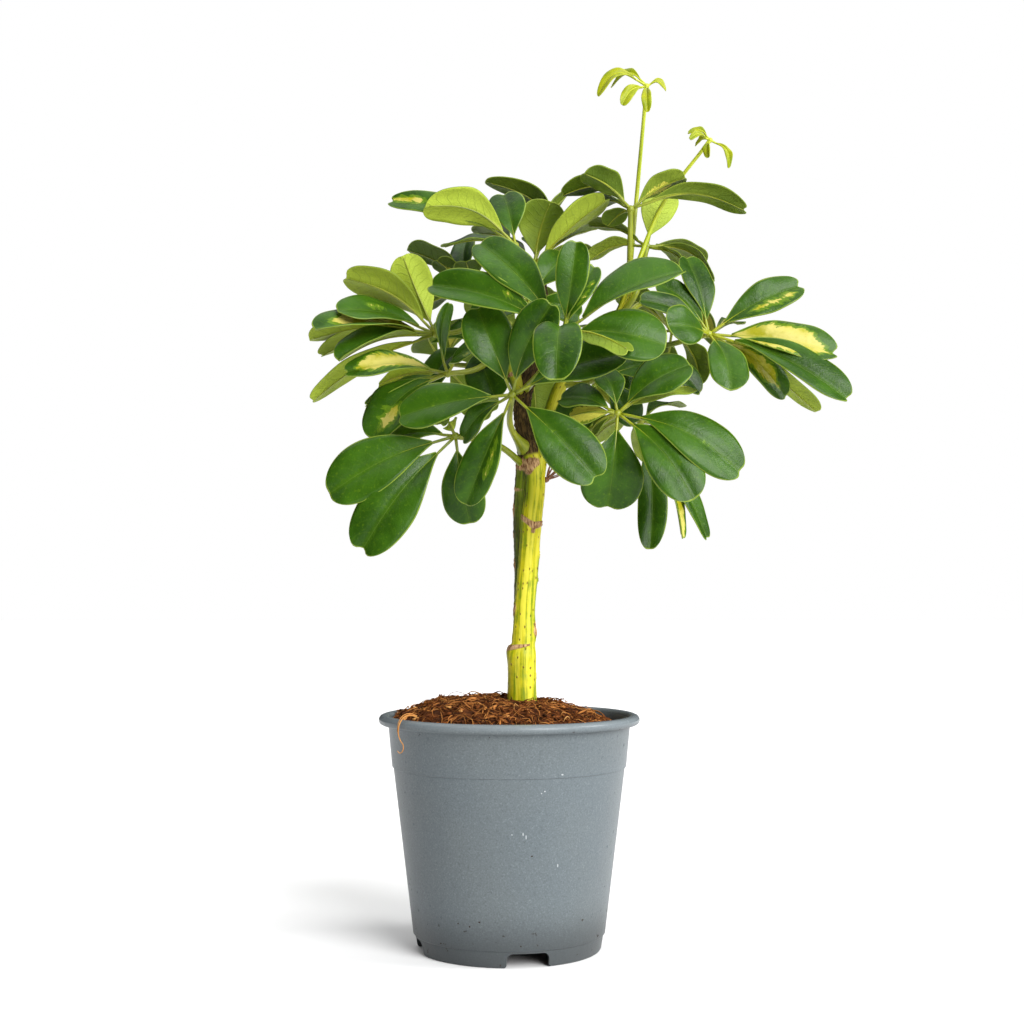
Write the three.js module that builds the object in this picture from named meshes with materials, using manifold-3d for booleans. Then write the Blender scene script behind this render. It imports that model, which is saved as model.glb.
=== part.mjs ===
// A potted umbrella plant: a small tree with a forked stem and a rounded head of compound leaves,
// each a wheel of leaflets on one long stalk, and two young shoots, in a grey plastic nursery pot
// filled with coir. Millimetres, +Z up, the front at -Y. The origin is on the ground, under the
// middle of the whole plant's spread.
import * as THREE from "three";
import { mergeVertices } from "three/addons/utils/BufferGeometryUtils.js";
import Module from "manifold-3d";

// ---- Driving dimensions, about the pot's axis ----

const pot = {
  height: 115.5,
  rimRadius: 65,
  rimDepth: 4.6,
  underRimRadius: 60.3,
  bandRadius: 58.2,
  bandHeight: 90,
  bandStep: 0.7,
  wallFootRadius: 47.6,
  wall: 1.2,
  footHeight: 8,
  footTopRadius: 46.8,
  footRadius: 45.2,
  footInnerRadius: 42.8,
  floorThickness: 1.6,
  sides: 30,
};
const notch = { count: 4, width: 20.5, height: 7, corner: 3, flare: 1.2, overcut: 4, firstAngle: -78.5 };
const drain = { count: 8, radius: 4, circle: 31 };
const soil = { edgeHeight: 109.5, crownHeight: 122.5, slope: 3.4, clearance: 0.3, sides: 30, rings: 5 };
const lumps = { broad: 0.9, fine: 0.5, broadPitch: 30, finePitch: 16 }; // of the soil's top
const seat = 0.32; // the gap left where a stalk meets its stem, and the stem its soil
const petiole = { footRadius: 1.8, hubRadius: 1.2, claspShare: 0.4, sag: 4, middle: 0.55, sides: 6 };
const leafletForm = { thickness: 0.7, stalkShare: 0.17, stalkWidth: 1.6, notch: 0.045, knob: 2.8 };
const bladeForm = { base: 0.06, widest: 0.6, swell: 1.1, tip: 2.6 };
const bladeRows = [0.3, 0.7, 0.965]; // the shares of a blade's length that its facets stand at
const plainRows = [0.5, 0.965]; // the same for the leaves inside the crown and the young ones
const wheelForm = { arch: 6, fold: 12, step: 0.08 };
const viewpoint = new THREE.Vector3(1.4, -837, 184); // the plant is laid out as seen from here

const green = { leaf: 0x2f5c1d, pale: 0x4c7424, variegated: 0x6b8a2a, young: 0xa9b928 };

// A stem's points are x, z, depth and radius. A place is given as it looks from the front, by x
// and z against the plane of the pot's axis, and by its depth behind that plane.
const stems = {
  main: [
    [6.5, 50, 0, 6.4],
    [6.5, 112, 0, 7.4],
    [6.5, 143, 0, 7.2],
    [7.2, 151, 0, 6.0],
    [7.7, 169, 0, 5.0],
    [9.2, 187, 0, 5.0],
    [11.3, 212, 0, 5.0],
    [13.0, 233, 0, 5.0],
    [11.0, 246, 1, 5.2],
    [7.6, 258, 2, 4.5],
    [6.6, 271, 3, 4.3],
    [9.5, 285, 4, 4.4],
    [14, 301, 7, 4.2],
    [16, 318, 10, 3.7],
    [16, 334, 13, 2.6],
  ],
  second: [
    [6.2, 141, 4, 5.0],
    [6.4, 155, 7, 4.4],
    [7.2, 187, 8, 4.5],
    [6.8, 212, 7, 4.6],
    [7.6, 232, 4.5, 4.6],
    [8.8, 247, 2, 4.6],
  ],
  left: [
    [7.5, 274, 3, 4.0],
    [1, 288, 2, 3.6],
    [-5, 304, 4, 3.3],
    [-10, 320, 9, 3.0],
    [-13, 333, 14, 2.2],
  ],
  right: [
    [13.6, 235, 0, 4.4],
    [15.8, 246, 1, 3.8],
    [19.5, 261, 3, 3.5],
    [24.5, 277, 5, 3.4],
    [35, 293, 7, 3.3],
    [49, 305, 9, 3.2],
    [58, 320, 10, 3.0],
    [62, 336, 12, 2.4],
  ],
};

// A leaf has the stem and height that its stalk grows from, the hub of its leaflets, and the way
// that its upper side faces. Its leaflets are listed by the tip's x, z and depth, the width, how
// far the midrib is bowed, the roll about the midrib and the fold of each half, in degrees. Where
// a wheel is given instead, the leaflets stand evenly round the hub.
const leaves = {
  leaf_front: {
    foot: ["second", 248],
    via: [0.8, 259, -19],
    clasp: 2.8,
    hub: [1.5, 275.5, -50],
    facing: [-0.1, -0.88, 0.46],
    leaflets: [
      [-56, 264, -38, 24, 5, 0, 10],
      [-16.5, 320.5, -48, 24, 5, 0, 10],
      [22.5, 323, -70, 22, 5, 0, 10],
      [59.5, 297, -56, 22, 4, 0, 10],
      [45, 231.5, -62, 27, 3, 0, 8],
      [-22, 219.5, -46, 21, 5, 10, 16],
      [-23.5, 252.5, -30, 14, 5, 0, 10],
    ],
  },
  leaf_upper_front: {
    foot: ["main", 279],
    hub: [27, 306.5, -62],
    facing: [0, -0.75, 0.65],
    leaflets: [
      [34, 354, -70, 16.5, 4, 0, 18],
      [43.5, 341, -58, 14, 4, 10, 20],
      [23.5, 280.5, -104, 23, 14, 0, 15],
      [61, 297, -84, 17, 4, 160, 10],
      [88.5, 338, -52, 30, 7, -14, 26],
      [-15.5, 352.5, -40, 23, 6, -8, 16],
      [-40.5, 331, -44, 22, 7, -16, 26],
      [79.5, 300, -70, 29, 6, 12, 8],
    ],
  },
  leaf_left_low: {
    foot: ["second", 239.5],
    via: [-6, 250, -15],
    hub: [-27, 254.5, -30],
    facing: [-0.3, -0.62, 0.72],
    leaflets: [
      [-91, 225, -34, 29, 5, -34, 10],
      [-75, 195, -42, 30, 6, -25, 10],
      [-62, 252, -10, 18, 4, 0, 10],
      [-19.5, 210, -30, 22, 5, 0, 8],
      [-30, 261, -8, 9, 3, 160, 10],
    ],
  },
  leaf_left_middle: {
    foot: ["left", 299],
    hub: [-31, 286, -8],
    facing: [-0.5, -0.35, 0.8],
    leaflets: [
      [-69.5, 252, -22, 29, 7, -28, 10],
      [-84, 286, -18, 18, 5, -30, 14],
      [-66.5, 279.5, 8, 14, 3, 150, 10],
      [-14.5, 299, -26, 19, 4, 10, 10],
      [-30, 322, 5, 9, 4, 80, 10],
      [-73, 269, -6, 17, 4, 0, 10],
    ],
  },
  leaf_left_upper: {
    foot: ["left", 320],
    hub: [-37, 306, 14],
    facing: [-0.35, 0.1, 0.93],
    leaflets: [
      [-54, 346.5, 10, 21.5, 3, 12, 12],
      [-84.5, 335, 12, 27, 7, 22, 10],
      [-88, 318, -8, 23, 5.5, -54, 14],
      [-99.5, 308, -20, 25, 4.5, -46, 26],
      [-101.5, 303, 12, 26, 6, 14, 16],
      [-96.5, 294, 26, 19, 7, 14, 20],
      [-87, 291.5, -14, 24, 6, -36, 34],
      [-100, 271.5, 14, 17, 5, 20, 14],
    ],
  },
  leaf_back_left_top: {
    foot: ["left", 331],
    hub: [-19.5, 327, 45],
    facing: [-0.2, 0.3, 0.93],
    leaflets: [
      [-52, 349, 50, 24, 5, 0, 15],
      [-21, 355, 64, 18, 5, 0, 15],
      [-37, 344, 26, 13, 3, 0, 10],
      [-47, 317, 47, 22, 4, 0, 12],
      [-22, 343, 22, 15, 3, 0, 10],
      [-62, 322, 84, 20, 6, 0, 15],
      [10, 334, 88, 20, 6, 0, 15],
    ],
  },
  leaf_top_left: {
    foot: ["main", 333],
    hub: [3, 351, -8],
    facing: [-0.2, 0.1, 0.97],
    leaflets: [
      [-61.5, 373.5, 2, 17, 7, -60, 14],
      [-43, 371, -20, 23, 8, 34, 10],
      [-3, 377.5, 8, 19, 3, 0, 12],
      [-14, 362, 34, 15, 4, 0, 15],
      [-34, 350, 12, 15, 4, -20, 15],
    ],
  },
  leaf_top_centre: {
    foot: ["main", 327],
    hub: [12.5, 341.5, 20],
    facing: [0, 0.3, 0.95],
    leaflets: [
      [21, 374, 14, 27, 4, 0, 12],
      [50.5, 375.5, 4, 25, 2, 10, 16],
      [-13, 384, 28, 19, 21, 0, 15],
      [36, 383, 38, 15, 6, 0, 15],
      [42, 344, 42, 18, 5, 0, 15],
      [46, 360, 54, 17, 4, 0, 15],
      [16, 352, 76, 20, 6, 0, 15],
      [-18, 357, 62, 18, 6, 0, 15],
    ],
  },
  leaf_top_right: {
    foot: ["right", 333],
    hub: [61.3, 369.5, 0],
    facing: [0.05, 0.3, 0.95],
    leaflets: [
      [25.5, 376, 10, 19, 9.5, 0, 16],
      [37.5, 388, -13, 18, 3, 12, 18],
      [90, 386, -4, 17, 3.5, -10, 16],
      [121, 368, -6, 16, 9.5, -14, 16],
      [41, 369, 38, 16, 5, 0, 15],
      [49, 360.5, 15, 13, 3, 0, 12],
    ],
  },
  leaf_right_top: {
    foot: ["right", 313],
    via: [64, 327, 2],
    hub: [69.5, 350.5, 18],
    facing: [0.1, 0.2, 0.97],
    leaflets: [
      [82, 379.5, 29, 19, 3, -90, 12],
      [103.5, 332, 12, 16, 9, 10, 15],
      [90.5, 341, 2, 8, 3, 0, 15],
      [39.5, 343, 26, 17, 5, 0, 15],
      [39.5, 361, 36, 17, 4, 0, 15],
      [92, 337, 58, 18, 6, 0, 15],
      [99, 342, 40, 16, 5, 0, 15],
    ],
  },
  leaf_right: {
    foot: ["right", 300],
    hub: [100.5, 306, -14],
    facing: [0.25, -0.6, 0.76],
    leaflets: [
      [89, 345.5, -4, 19, 4, 0, 12],
      [74.5, 332, -14, 15, 4, -25, 14],
      [64.5, 323.5, -26, 14, 4, -20, 20],
      [79, 310.5, -42, 21, 3, -35, 8],
      [148, 331, -10, 19, 4.5, 24, 14],
      [166, 295.5, -16, 25, 3.5, 18, 20],
      [171.5, 272, -30, 25, 6, 12, 22],
      [139.5, 274, -8, 17, 5, 34, 14],
      [155.5, 266, 8, 17, 3, -58, 12],
      [111.5, 277, -42, 22, 5, 0, 10],
      [115.5, 311, 14, 12, 4, -20, 10],
    ],
  },
  leaf_right_low: {
    foot: ["right", 250],
    hub: [54.5, 266, -38],
    facing: [0.1, -0.7, 0.7],
    leaflets: [
      [117, 235.5, -44, 28, 8, 14, 6],
      [93, 222, -56, 27, 5, 12, 8],
      [49, 217.5, -32, 31, 6, 0, 14],
      [30, 264, -31, 11, 3, 150, 10],
      [25, 273, -31, 20, 4, 0, 15],
      [45.5, 288, -30, 16, 4, 0, 15],
      [91.5, 291, -40, 26, 5, 0, 10],
      [92, 279, -16, 22, 5, 150, 10],
      [41, 254.5, -24, 9, 3, 160, 10],
    ],
  },
  leaf_right_under: {
    foot: ["right", 293],
    hub: [66, 262, 12],
    facing: [0.2, 0.1, 0.97],
    leaflets: [
      [70.5, 197, -4, 15.5, 5, 66, 12],
      [87, 202, 14, 13, 5, 40, 20],
      [99.5, 202, 24, 15, 4, 55, 12],
      [73, 226, 18, 12, 4, -80, 12],
      [87, 269, 44, 14, 5, 0, 15],
      [106, 242, 52, 18, 6, 0, 12],
      [70, 240, 68, 20, 6, 0, 12],
      [40, 250, 52, 17, 6, 0, 12],
    ],
  },
  leaf_inner_left: {
    foot: ["main", 304],
    hub: [-16, 300, 22],
    facing: [-0.25, -0.7, 0.65],
    wheel: { count: 5, length: 38, width: 23, droop: 12, turn: 80 },
  },
  leaf_inner_right: {
    foot: ["right", 305],
    hub: [62, 296, 24],
    facing: [0.2, -0.6, 0.75],
    wheel: { count: 5, length: 41, width: 22, droop: 12, turn: 110 },
  },
  leaf_inner_centre: {
    foot: ["main", 312],
    hub: [10, 324, -8],
    facing: [0, -0.95, 0.3],
    wheel: { count: 5, length: 33, width: 19, droop: 8, turn: 54 },
  },
  leaf_inner_low: {
    foot: ["right", 281],
    hub: [46, 284, -11],
    facing: [0.15, -0.95, 0.3],
    wheel: { count: 5, length: 35, width: 20, droop: 8, turn: 18 },
  },
  leaf_back_left: {
    foot: ["left", 292],
    hub: [-33, 291, 68],
    facing: [-0.6, 0.68, 0.42],
    wheel: { count: 6, length: 41, width: 23, droop: 26, turn: 34 },
  },
  leaf_back_centre: {
    foot: ["main", 291],
    hub: [8, 303, 88],
    facing: [0, 0.9, 0.45],
    wheel: { count: 5, length: 43, width: 25, droop: 14, turn: 45 },
  },
  leaf_back_right: {
    foot: ["right", 311],
    via: [70, 322, 40],
    hub: [82, 308, 62],
    facing: [0.6, 0.62, 0.5],
    wheel: { count: 6, length: 43, width: 24, droop: 22, turn: 0 },
  },
  young_leaf_tall: {
    foot: ["right", 327],
    via: [64.2, 374, 41],
    hub: [69.6, 432.3, 20],
    facing: [-0.1, -0.1, 1],
    slim: 0.75,
    leaflets: [
      [44.5, 427, 16, 8, 9.5, -50, 20],
      [51.5, 431.5, 28, 8, 7.5, -40, 20],
      [57, 422.3, 10, 7, 4, -55, 20],
      [59.5, 423.8, 22, 5, 3, -60, 20],
      [70.1, 418.8, 6, 5.5, 4, 0, 20],
      [79.6, 429.8, 22, 5, 4, 55, 20],
    ],
  },
  young_leaf_short: {
    foot: ["right", 335],
    via: [78, 372.5, 12],
    hub: [101.6, 404.6, 4],
    facing: [0, -0.1, 1],
    slim: 0.7,
    leaflets: [
      [90.1, 408.3, 4, 4.2, 3, -50, 20],
      [91.1, 405, -4, 4, 3, -50, 20],
      [94.1, 401.8, 10, 4.4, 2, -60, 20],
      [100.6, 395.3, 0, 4.4, 3, 20, 20],
      [111.2, 390.2, 4, 4.2, 5, 60, 20],
    ],
  },
};

// The dry stalks of lost leaves, standing in a tuft on the main stem: x, z and depth of each tip.
const dryStalks = {
  root: [18.6, 232.5, 0],
  radius: 0.55,
  knob: 1.7,
  tips: [
    [21, 244.5, 0],
    [23.5, 242, 6],
    [26, 239.5, -3],
    [28.5, 236.5, 3],
    [28.5, 240, -1],
  ],
};

// ---- Placing ----

function seen([x, z, depth]) {
  const reach = 1 - depth / viewpoint.y;
  return new THREE.Vector3(
    viewpoint.x + (x - viewpoint.x) * reach,
    depth,
    viewpoint.z + (z - viewpoint.z) * reach,
  );
}

function curveThrough(points) {
  return new THREE.CatmullRomCurve3(points, false, "centripetal");
}

function onStem([name, height]) {
  const points = curveThrough(stems[name].map(seen)).getPoints(120);
  return points.reduce((a, b) => (Math.abs(b.z - height) < Math.abs(a.z - height) ? b : a));
}

// ---- Solids ----

const wasm = await Module();
wasm.setup();

function solidOf(geometry) {
  const bare = new THREE.BufferGeometry().setIndex(geometry.index);
  bare.setAttribute("position", geometry.getAttribute("position"));
  const merged = mergeVertices(bare, 1e-4);
  return new wasm.Manifold(
    new wasm.Mesh({
      numProp: 3,
      vertProperties: merged.attributes.position.array,
      triVerts: new Uint32Array(merged.index.array),
    }),
  );
}

function meshOf(name, solid, color, roughness) {
  const { vertProperties, triVerts } = solid.getMesh();
  const geometry = new THREE.BufferGeometry();
  geometry.setAttribute("position", new THREE.BufferAttribute(vertProperties, 3));
  geometry.setIndex(new THREE.BufferAttribute(triVerts, 1));
  geometry.computeVertexNormals();
  const material = new THREE.MeshStandardMaterial({ color, roughness, metalness: 0 });
  const mesh = new THREE.Mesh(geometry, material);
  mesh.name = name;
  return mesh;
}

// A round stalk along a curve. radiusAt gives its radius at each share of its length.
function stalk(curve, radiusAt, sides, steps) {
  const geometry = new THREE.CylinderGeometry(1, 1, 1, sides, steps);
  const frames = curve.computeFrenetFrames(steps);
  const position = geometry.getAttribute("position");
  for (let i = 0; i < position.count; i++) {
    const step = Math.round((position.getY(i) + 0.5) * steps);
    const radius = radiusAt(step / steps);
    const point = curve
      .getPointAt(step / steps)
      .addScaledVector(frames.normals[step], position.getX(i) * radius)
      .addScaledVector(frames.binormals[step], -position.getZ(i) * radius);
    position.setXYZ(i, point.x, point.y, point.z);
  }
  return solidOf(geometry);
}

// ---- Stems ----

function stemSolid(points, grown) {
  const curve = curveThrough(points.map(seen));
  const last = points.length - 1;
  const fine = 12;
  const lengths = curve.getLengths(last * fine);
  const shares = points.map((_, i) => lengths[i * fine] / lengths[last * fine]);
  const radiusAt = (share) => {
    let i = 0;
    while (i < last - 1 && share > shares[i + 1]) i++;
    const part = (share - shares[i]) / (shares[i + 1] - shares[i]);
    return THREE.MathUtils.lerp(points[i][3], points[i + 1][3], part) + grown;
  };
  const stepsPerPoint = 1.5;
  return stalk(curve, radiusAt, 8, Math.ceil(stepsPerPoint * last));
}

function trunkSolid(grown = 0) {
  return wasm.Manifold.union(Object.values(stems).map((points) => stemSolid(points, grown)));
}

function dryStalkSolid() {
  const root = seen(dryStalks.root);
  const knob = solidOf(new THREE.OctahedronGeometry(dryStalks.knob).translate(root.x, root.y, root.z));
  const stalks = dryStalks.tips.map((tip) =>
    stalk(new THREE.LineCurve3(root, seen(tip)), () => dryStalks.radius, 5, 1),
  );
  return wasm.Manifold.union([knob, ...stalks]);
}

// ---- Leaves ----

// Half a blade's width at each share of its length: a wedge at the base, round towards the tip.
function halfWidthAt(share) {
  const { base, widest, swell, tip } = bladeForm;
  if (share < widest)
    return base + (1 - base) * Math.sin(((share / widest) * Math.PI) / 2) ** swell;
  return Math.sqrt(Math.max(0, 1 - ((share - widest) / (1 - widest)) ** tip));
}

// Where a leaflet lies: its straight line from the hub, the way it bows, its upper side, and its
// sideways direction.
function leafletFrame(hub, facing, { tip, width, arch, roll, fold }) {
  const along = tip.clone().sub(hub);
  const length = along.length();
  along.normalize();
  const bow = facing.clone().addScaledVector(along, -facing.dot(along)).normalize();
  const up = bow.clone().applyAxisAngle(along, THREE.MathUtils.degToRad(roll));
  const side = new THREE.Vector3().crossVectors(along, up);
  return { hub, along, bow, up, side, length, width, arch, fold: THREE.MathUtils.degToRad(fold) };
}

function midribPoint({ hub, along, bow, length, arch }, share) {
  return hub
    .clone()
    .addScaledVector(along, length * share)
    .addScaledVector(bow, arch * Math.sin(Math.PI * share));
}

// A closed body between two sheets of points on the same grid.
function thickened(faces, upper, lower, columns, rows) {
  const count = upper.length;
  const wide = columns + 1;
  const index = [];
  for (let i = 0; i < faces.length; i += 3) {
    const [a, b, c] = faces.slice(i, i + 3);
    index.push(a, b, c, count + a, count + c, count + b);
  }
  const rim = [];
  for (let i = 0; i < columns; i++) rim.push(i);
  for (let j = 0; j < rows; j++) rim.push(columns + j * wide);
  for (let i = columns; i > 0; i--) rim.push(rows * wide + i);
  for (let j = rows; j > 0; j--) rim.push(j * wide);
  rim.forEach((a, i) => {
    const b = rim[(i + 1) % rim.length];
    index.push(a, b, count + b, a, count + b, count + a);
  });
  const geometry = new THREE.BufferGeometry().setIndex(index);
  return geometry.setFromPoints([...upper, ...lower]);
}

// A leaflet's cross-sections from the hub to its tip: a stalk as deep as it is wide, then the blade.
function crossSections(frame, slim, shares) {
  const { thickness, stalkShare, stalkWidth, knob } = leafletForm;
  const stalkAt = (at, width) => ({ at, halfWidth: (width * slim) / 2, thickness: width * slim });
  const bladeParts = shares.map((share) => ({
    at: stalkShare + (1 - stalkShare) * share,
    halfWidth: (frame.width / 2) * halfWidthAt(share),
    thickness,
  }));
  const inKnob = stalkAt((0.3 * knob * slim) / frame.length, 0.75 * stalkWidth);
  return [inKnob, stalkAt(stalkShare, stalkWidth), ...bladeParts];
}

// A leaflet: a flat grid bent to its outline, fold and bow, with a notch at its tip.
function leafletSolid(frame, slim, shares = bladeRows) {
  const sections = crossSections(frame, slim, shares);
  const columns = 2;
  const rows = sections.length - 1;
  const sheet = new THREE.PlaneGeometry(1, 1, columns, rows);
  const flat = sheet.getAttribute("position");
  const upper = [];
  const lower = [];
  for (let i = 0; i < flat.count; i++) {
    const across = flat.getX(i) * 2;
    const row = rows - Math.floor(i / (columns + 1));
    const { at, halfWidth, thickness } = sections[row];
    const inNotch = row === rows && across === 0;
    const point = midribPoint(frame, inNotch ? at - leafletForm.notch : at)
      .addScaledVector(frame.side, across * halfWidth * Math.cos(frame.fold))
      .addScaledVector(frame.up, Math.abs(across) * halfWidth * Math.sin(frame.fold));
    upper.push(point.clone().addScaledVector(frame.up, thickness / 2));
    lower.push(point.clone().addScaledVector(frame.up, -thickness / 2));
  }
  return solidOf(thickened(sheet.index.array, upper, lower, columns, rows));
}

function listedLeaflets(rows) {
  return rows.map(([x, z, depth, width, arch, roll, fold]) => ({
    tip: seen([x, z, depth]),
    width,
    arch,
    roll,
    fold,
  }));
}

function wheelLeaflets(hub, facing, { count, length, width, droop, turn }) {
  const across = new THREE.Vector3(0, 0, 1).cross(facing).normalize();
  const upwards = facing.clone().cross(across);
  const fall = THREE.MathUtils.degToRad(droop);
  return Array.from({ length: count }, (_, i) => {
    const angle = THREE.MathUtils.degToRad(turn + (360 * i) / count);
    const size = 1 - wheelForm.step * ((i * 2) % 3);
    const direction = across
      .clone()
      .multiplyScalar(Math.cos(angle))
      .addScaledVector(upwards, Math.sin(angle))
      .multiplyScalar(Math.cos(fall))
      .addScaledVector(facing, -Math.sin(fall));
    const tip = hub.clone().addScaledVector(direction, length * size);
    return { tip, width: width * size, arch: wheelForm.arch, roll: 0, fold: wheelForm.fold };
  });
}

function leafletsOf(leaf) {
  const hub = seen(leaf.hub);
  const facing = new THREE.Vector3(...leaf.facing).normalize();
  const listed = leaf.wheel ? wheelLeaflets(hub, facing, leaf.wheel) : listedLeaflets(leaf.leaflets);
  return listed.map((leaflet) => leafletFrame(hub, facing, leaflet));
}

function petioleCurve({ foot, via, hub, facing }) {
  const start = onStem(foot);
  const end = seen(hub);
  const sag = new THREE.Vector3(...facing).normalize().multiplyScalar(-petiole.sag);
  const middle = via ? seen(via) : start.clone().lerp(end, petiole.middle).add(sag);
  return curveThrough([start, middle, end]);
}

function leafSolid(leaf) {
  const slim = leaf.slim ?? 1;
  const hub = seen(leaf.hub);
  const knob = new THREE.OctahedronGeometry(leafletForm.knob * slim).translate(hub.x, hub.y, hub.z);
  const radiusAt = (share) =>
    slim * THREE.MathUtils.lerp(petiole.footRadius, petiole.hubRadius, share) +
    (leaf.clasp ?? 0) * Math.max(0, 1 - share / petiole.claspShare) ** 2;
  const leafStalk = stalk(petioleCurve(leaf), radiusAt, petiole.sides, leaf.via ? 5 : 4);
  const shares = leaf.wheel || leaf.slim ? plainRows : bladeRows;
  const leaflets = leafletsOf(leaf).map((frame) => leafletSolid(frame, slim, shares));
  const finest = 0.05;
  return wasm.Manifold.union([solidOf(knob), leafStalk, ...leaflets]).simplify(finest);
}

// ---- Pot and soil ----

function potProfile() {
  const top = pot.height;
  const under = top - pot.rimDepth;
  const roll = [
    [pot.rimRadius - 1.4, under],
    [pot.rimRadius - 0.3, under + 0.8],
    [pot.rimRadius, under + 2.3],
    [pot.rimRadius - 0.5, top - 0.7],
    [pot.rimRadius - 1.8, top],
    [pot.underRimRadius + 1, top],
    [pot.underRimRadius - 0.4, top - 1.2],
  ];
  const outside = [
    [0, pot.footHeight],
    [pot.footInnerRadius, pot.footHeight],
    [pot.footInnerRadius, 0],
    [pot.footRadius, 0],
    [pot.footRadius + 0.8, 0.9],
    [pot.footTopRadius, pot.footHeight],
    [pot.wallFootRadius, pot.footHeight],
    [pot.bandRadius - pot.bandStep, pot.bandHeight - pot.bandStep],
    [pot.bandRadius, pot.bandHeight],
    [pot.underRimRadius, under],
  ];
  const inside = [...innerWall(), [0, pot.footHeight + pot.floorThickness]];
  return [...outside, ...roll, ...inside].map(([r, z]) => new THREE.Vector2(r, z));
}

// The inner wall from the rim down to the floor's edge.
function innerWall() {
  return [
    [pot.underRimRadius - pot.wall, pot.height - pot.rimDepth],
    [pot.bandRadius - pot.wall, pot.bandHeight],
    [pot.wallFootRadius - pot.wall, pot.footHeight + pot.floorThickness],
  ];
}

// Turns a profile round the vertical axis.
function turned(profile, sides) {
  return new THREE.LatheGeometry(profile, sides).rotateX(Math.PI / 2);
}

function notchSolid(index) {
  const half = notch.width / 2;
  const shape = new THREE.Shape();
  shape.moveTo(-half - notch.flare, -1);
  shape.lineTo(half + notch.flare, -1);
  shape.lineTo(half, notch.flare);
  shape.lineTo(half, notch.height - notch.corner);
  shape.absarc(half - notch.corner, notch.height - notch.corner, notch.corner, 0, Math.PI / 2);
  shape.lineTo(notch.corner - half, notch.height);
  const centre = [notch.corner - half, notch.height - notch.corner];
  shape.absarc(...centre, notch.corner, Math.PI / 2, Math.PI);
  shape.closePath();
  const depth = pot.footTopRadius - pot.footInnerRadius + 2 * notch.overcut;
  const cutter = new THREE.ExtrudeGeometry(shape, { depth, bevelEnabled: false, curveSegments: 4 });
  cutter.translate(0, 0, pot.footInnerRadius - notch.overcut).rotateX(Math.PI / 2);
  const angle = notch.firstAngle + (360 * index) / notch.count;
  return solidOf(cutter.rotateZ(THREE.MathUtils.degToRad(angle + 90)));
}

function drainSolid(index) {
  const hole = new THREE.CylinderGeometry(drain.radius, drain.radius, 6, 8).rotateX(Math.PI / 2);
  const angle = ((index + 0.5) * 2 * Math.PI) / drain.count;
  const x = drain.circle * Math.cos(angle);
  const y = drain.circle * Math.sin(angle);
  return solidOf(hole.translate(x, y, pot.footHeight + pot.floorThickness / 2));
}

function potSolid() {
  const notches = Array.from({ length: notch.count }, (_, i) => notchSolid(i));
  const drains = Array.from({ length: drain.count }, (_, i) => drainSolid(i));
  const body = solidOf(turned(potProfile(), pot.sides));
  return body.subtract(wasm.Manifold.union([...notches, ...drains]));
}

// The soil's top, mounded round the stem and lower towards the right.
function soilHeight(x, y) {
  const share = Math.min(1, Math.hypot(x, y) / pot.bandRadius);
  const mound = soil.edgeHeight + (soil.crownHeight - soil.edgeHeight) * (1 - share ** 3);
  const wave = (distance, pitch) => Math.sin((2 * Math.PI * distance) / pitch);
  const broad = lumps.broad * wave(x + 5, lumps.broadPitch) * wave(y + 8, lumps.broadPitch);
  const fine = lumps.fine * wave(x + y, lumps.finePitch);
  return mound - (soil.slope * x) / pot.bandRadius + broad + fine;
}

function soilSolid() {
  const wall = innerWall().reverse().map(([r, z]) => [r - soil.clearance, z]);
  const [floorRadius, floorHeight] = wall[0];
  const bottom = floorHeight + soil.clearance;
  const edge = wall[1][0];
  const rings = Array.from({ length: soil.rings }, (_, i) => [
    (edge * (soil.rings - i)) / soil.rings,
    soil.crownHeight,
  ]);
  const profile = [[0, bottom], [floorRadius, bottom], wall[1], ...rings, [0, soil.crownHeight]];
  const points = profile.map(([r, z]) => new THREE.Vector2(r, z));
  const geometry = turned(points, soil.sides);
  const position = geometry.getAttribute("position");
  for (let i = 0; i < position.count; i++)
    if (position.getZ(i) > soil.crownHeight - 1)
      position.setZ(i, soilHeight(position.getX(i), position.getY(i)));
  return solidOf(geometry);
}

// ---- The plant ----

const trunk = trunkSolid();
const trunkWithGap = trunkSolid(seat);

const plant = new THREE.Group();
plant.add(meshOf("pot", potSolid(), 0x7d878c, 0.45));
plant.add(meshOf("soil", soilSolid().subtract(trunkWithGap), 0x5a3a1c, 0.95));
plant.add(meshOf("trunk", trunk, 0xb9b03a, 0.6));
plant.add(meshOf("dry_stalks", dryStalkSolid().subtract(trunkWithGap), 0x5b3220, 0.8));
const leafGreens = { leaf_left_middle: green.variegated, leaf_right: green.pale };
for (const [name, leaf] of Object.entries(leaves)) {
  const color = leaf.slim ? green.young : (leafGreens[name] ?? green.leaf);
  plant.add(meshOf(name, leafSolid(leaf).subtract(trunkWithGap), color, 0.35));
}
const spread = new THREE.Box3().setFromObject(plant).getCenter(new THREE.Vector3());
plant.position.set(-spread.x, -spread.y, 0);

const pottedPlant = new THREE.Group();
pottedPlant.add(plant);
export default pottedPlant;
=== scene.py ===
import math
import random

import bmesh
import bpy
from mathutils import Matrix, Vector, noise


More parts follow.
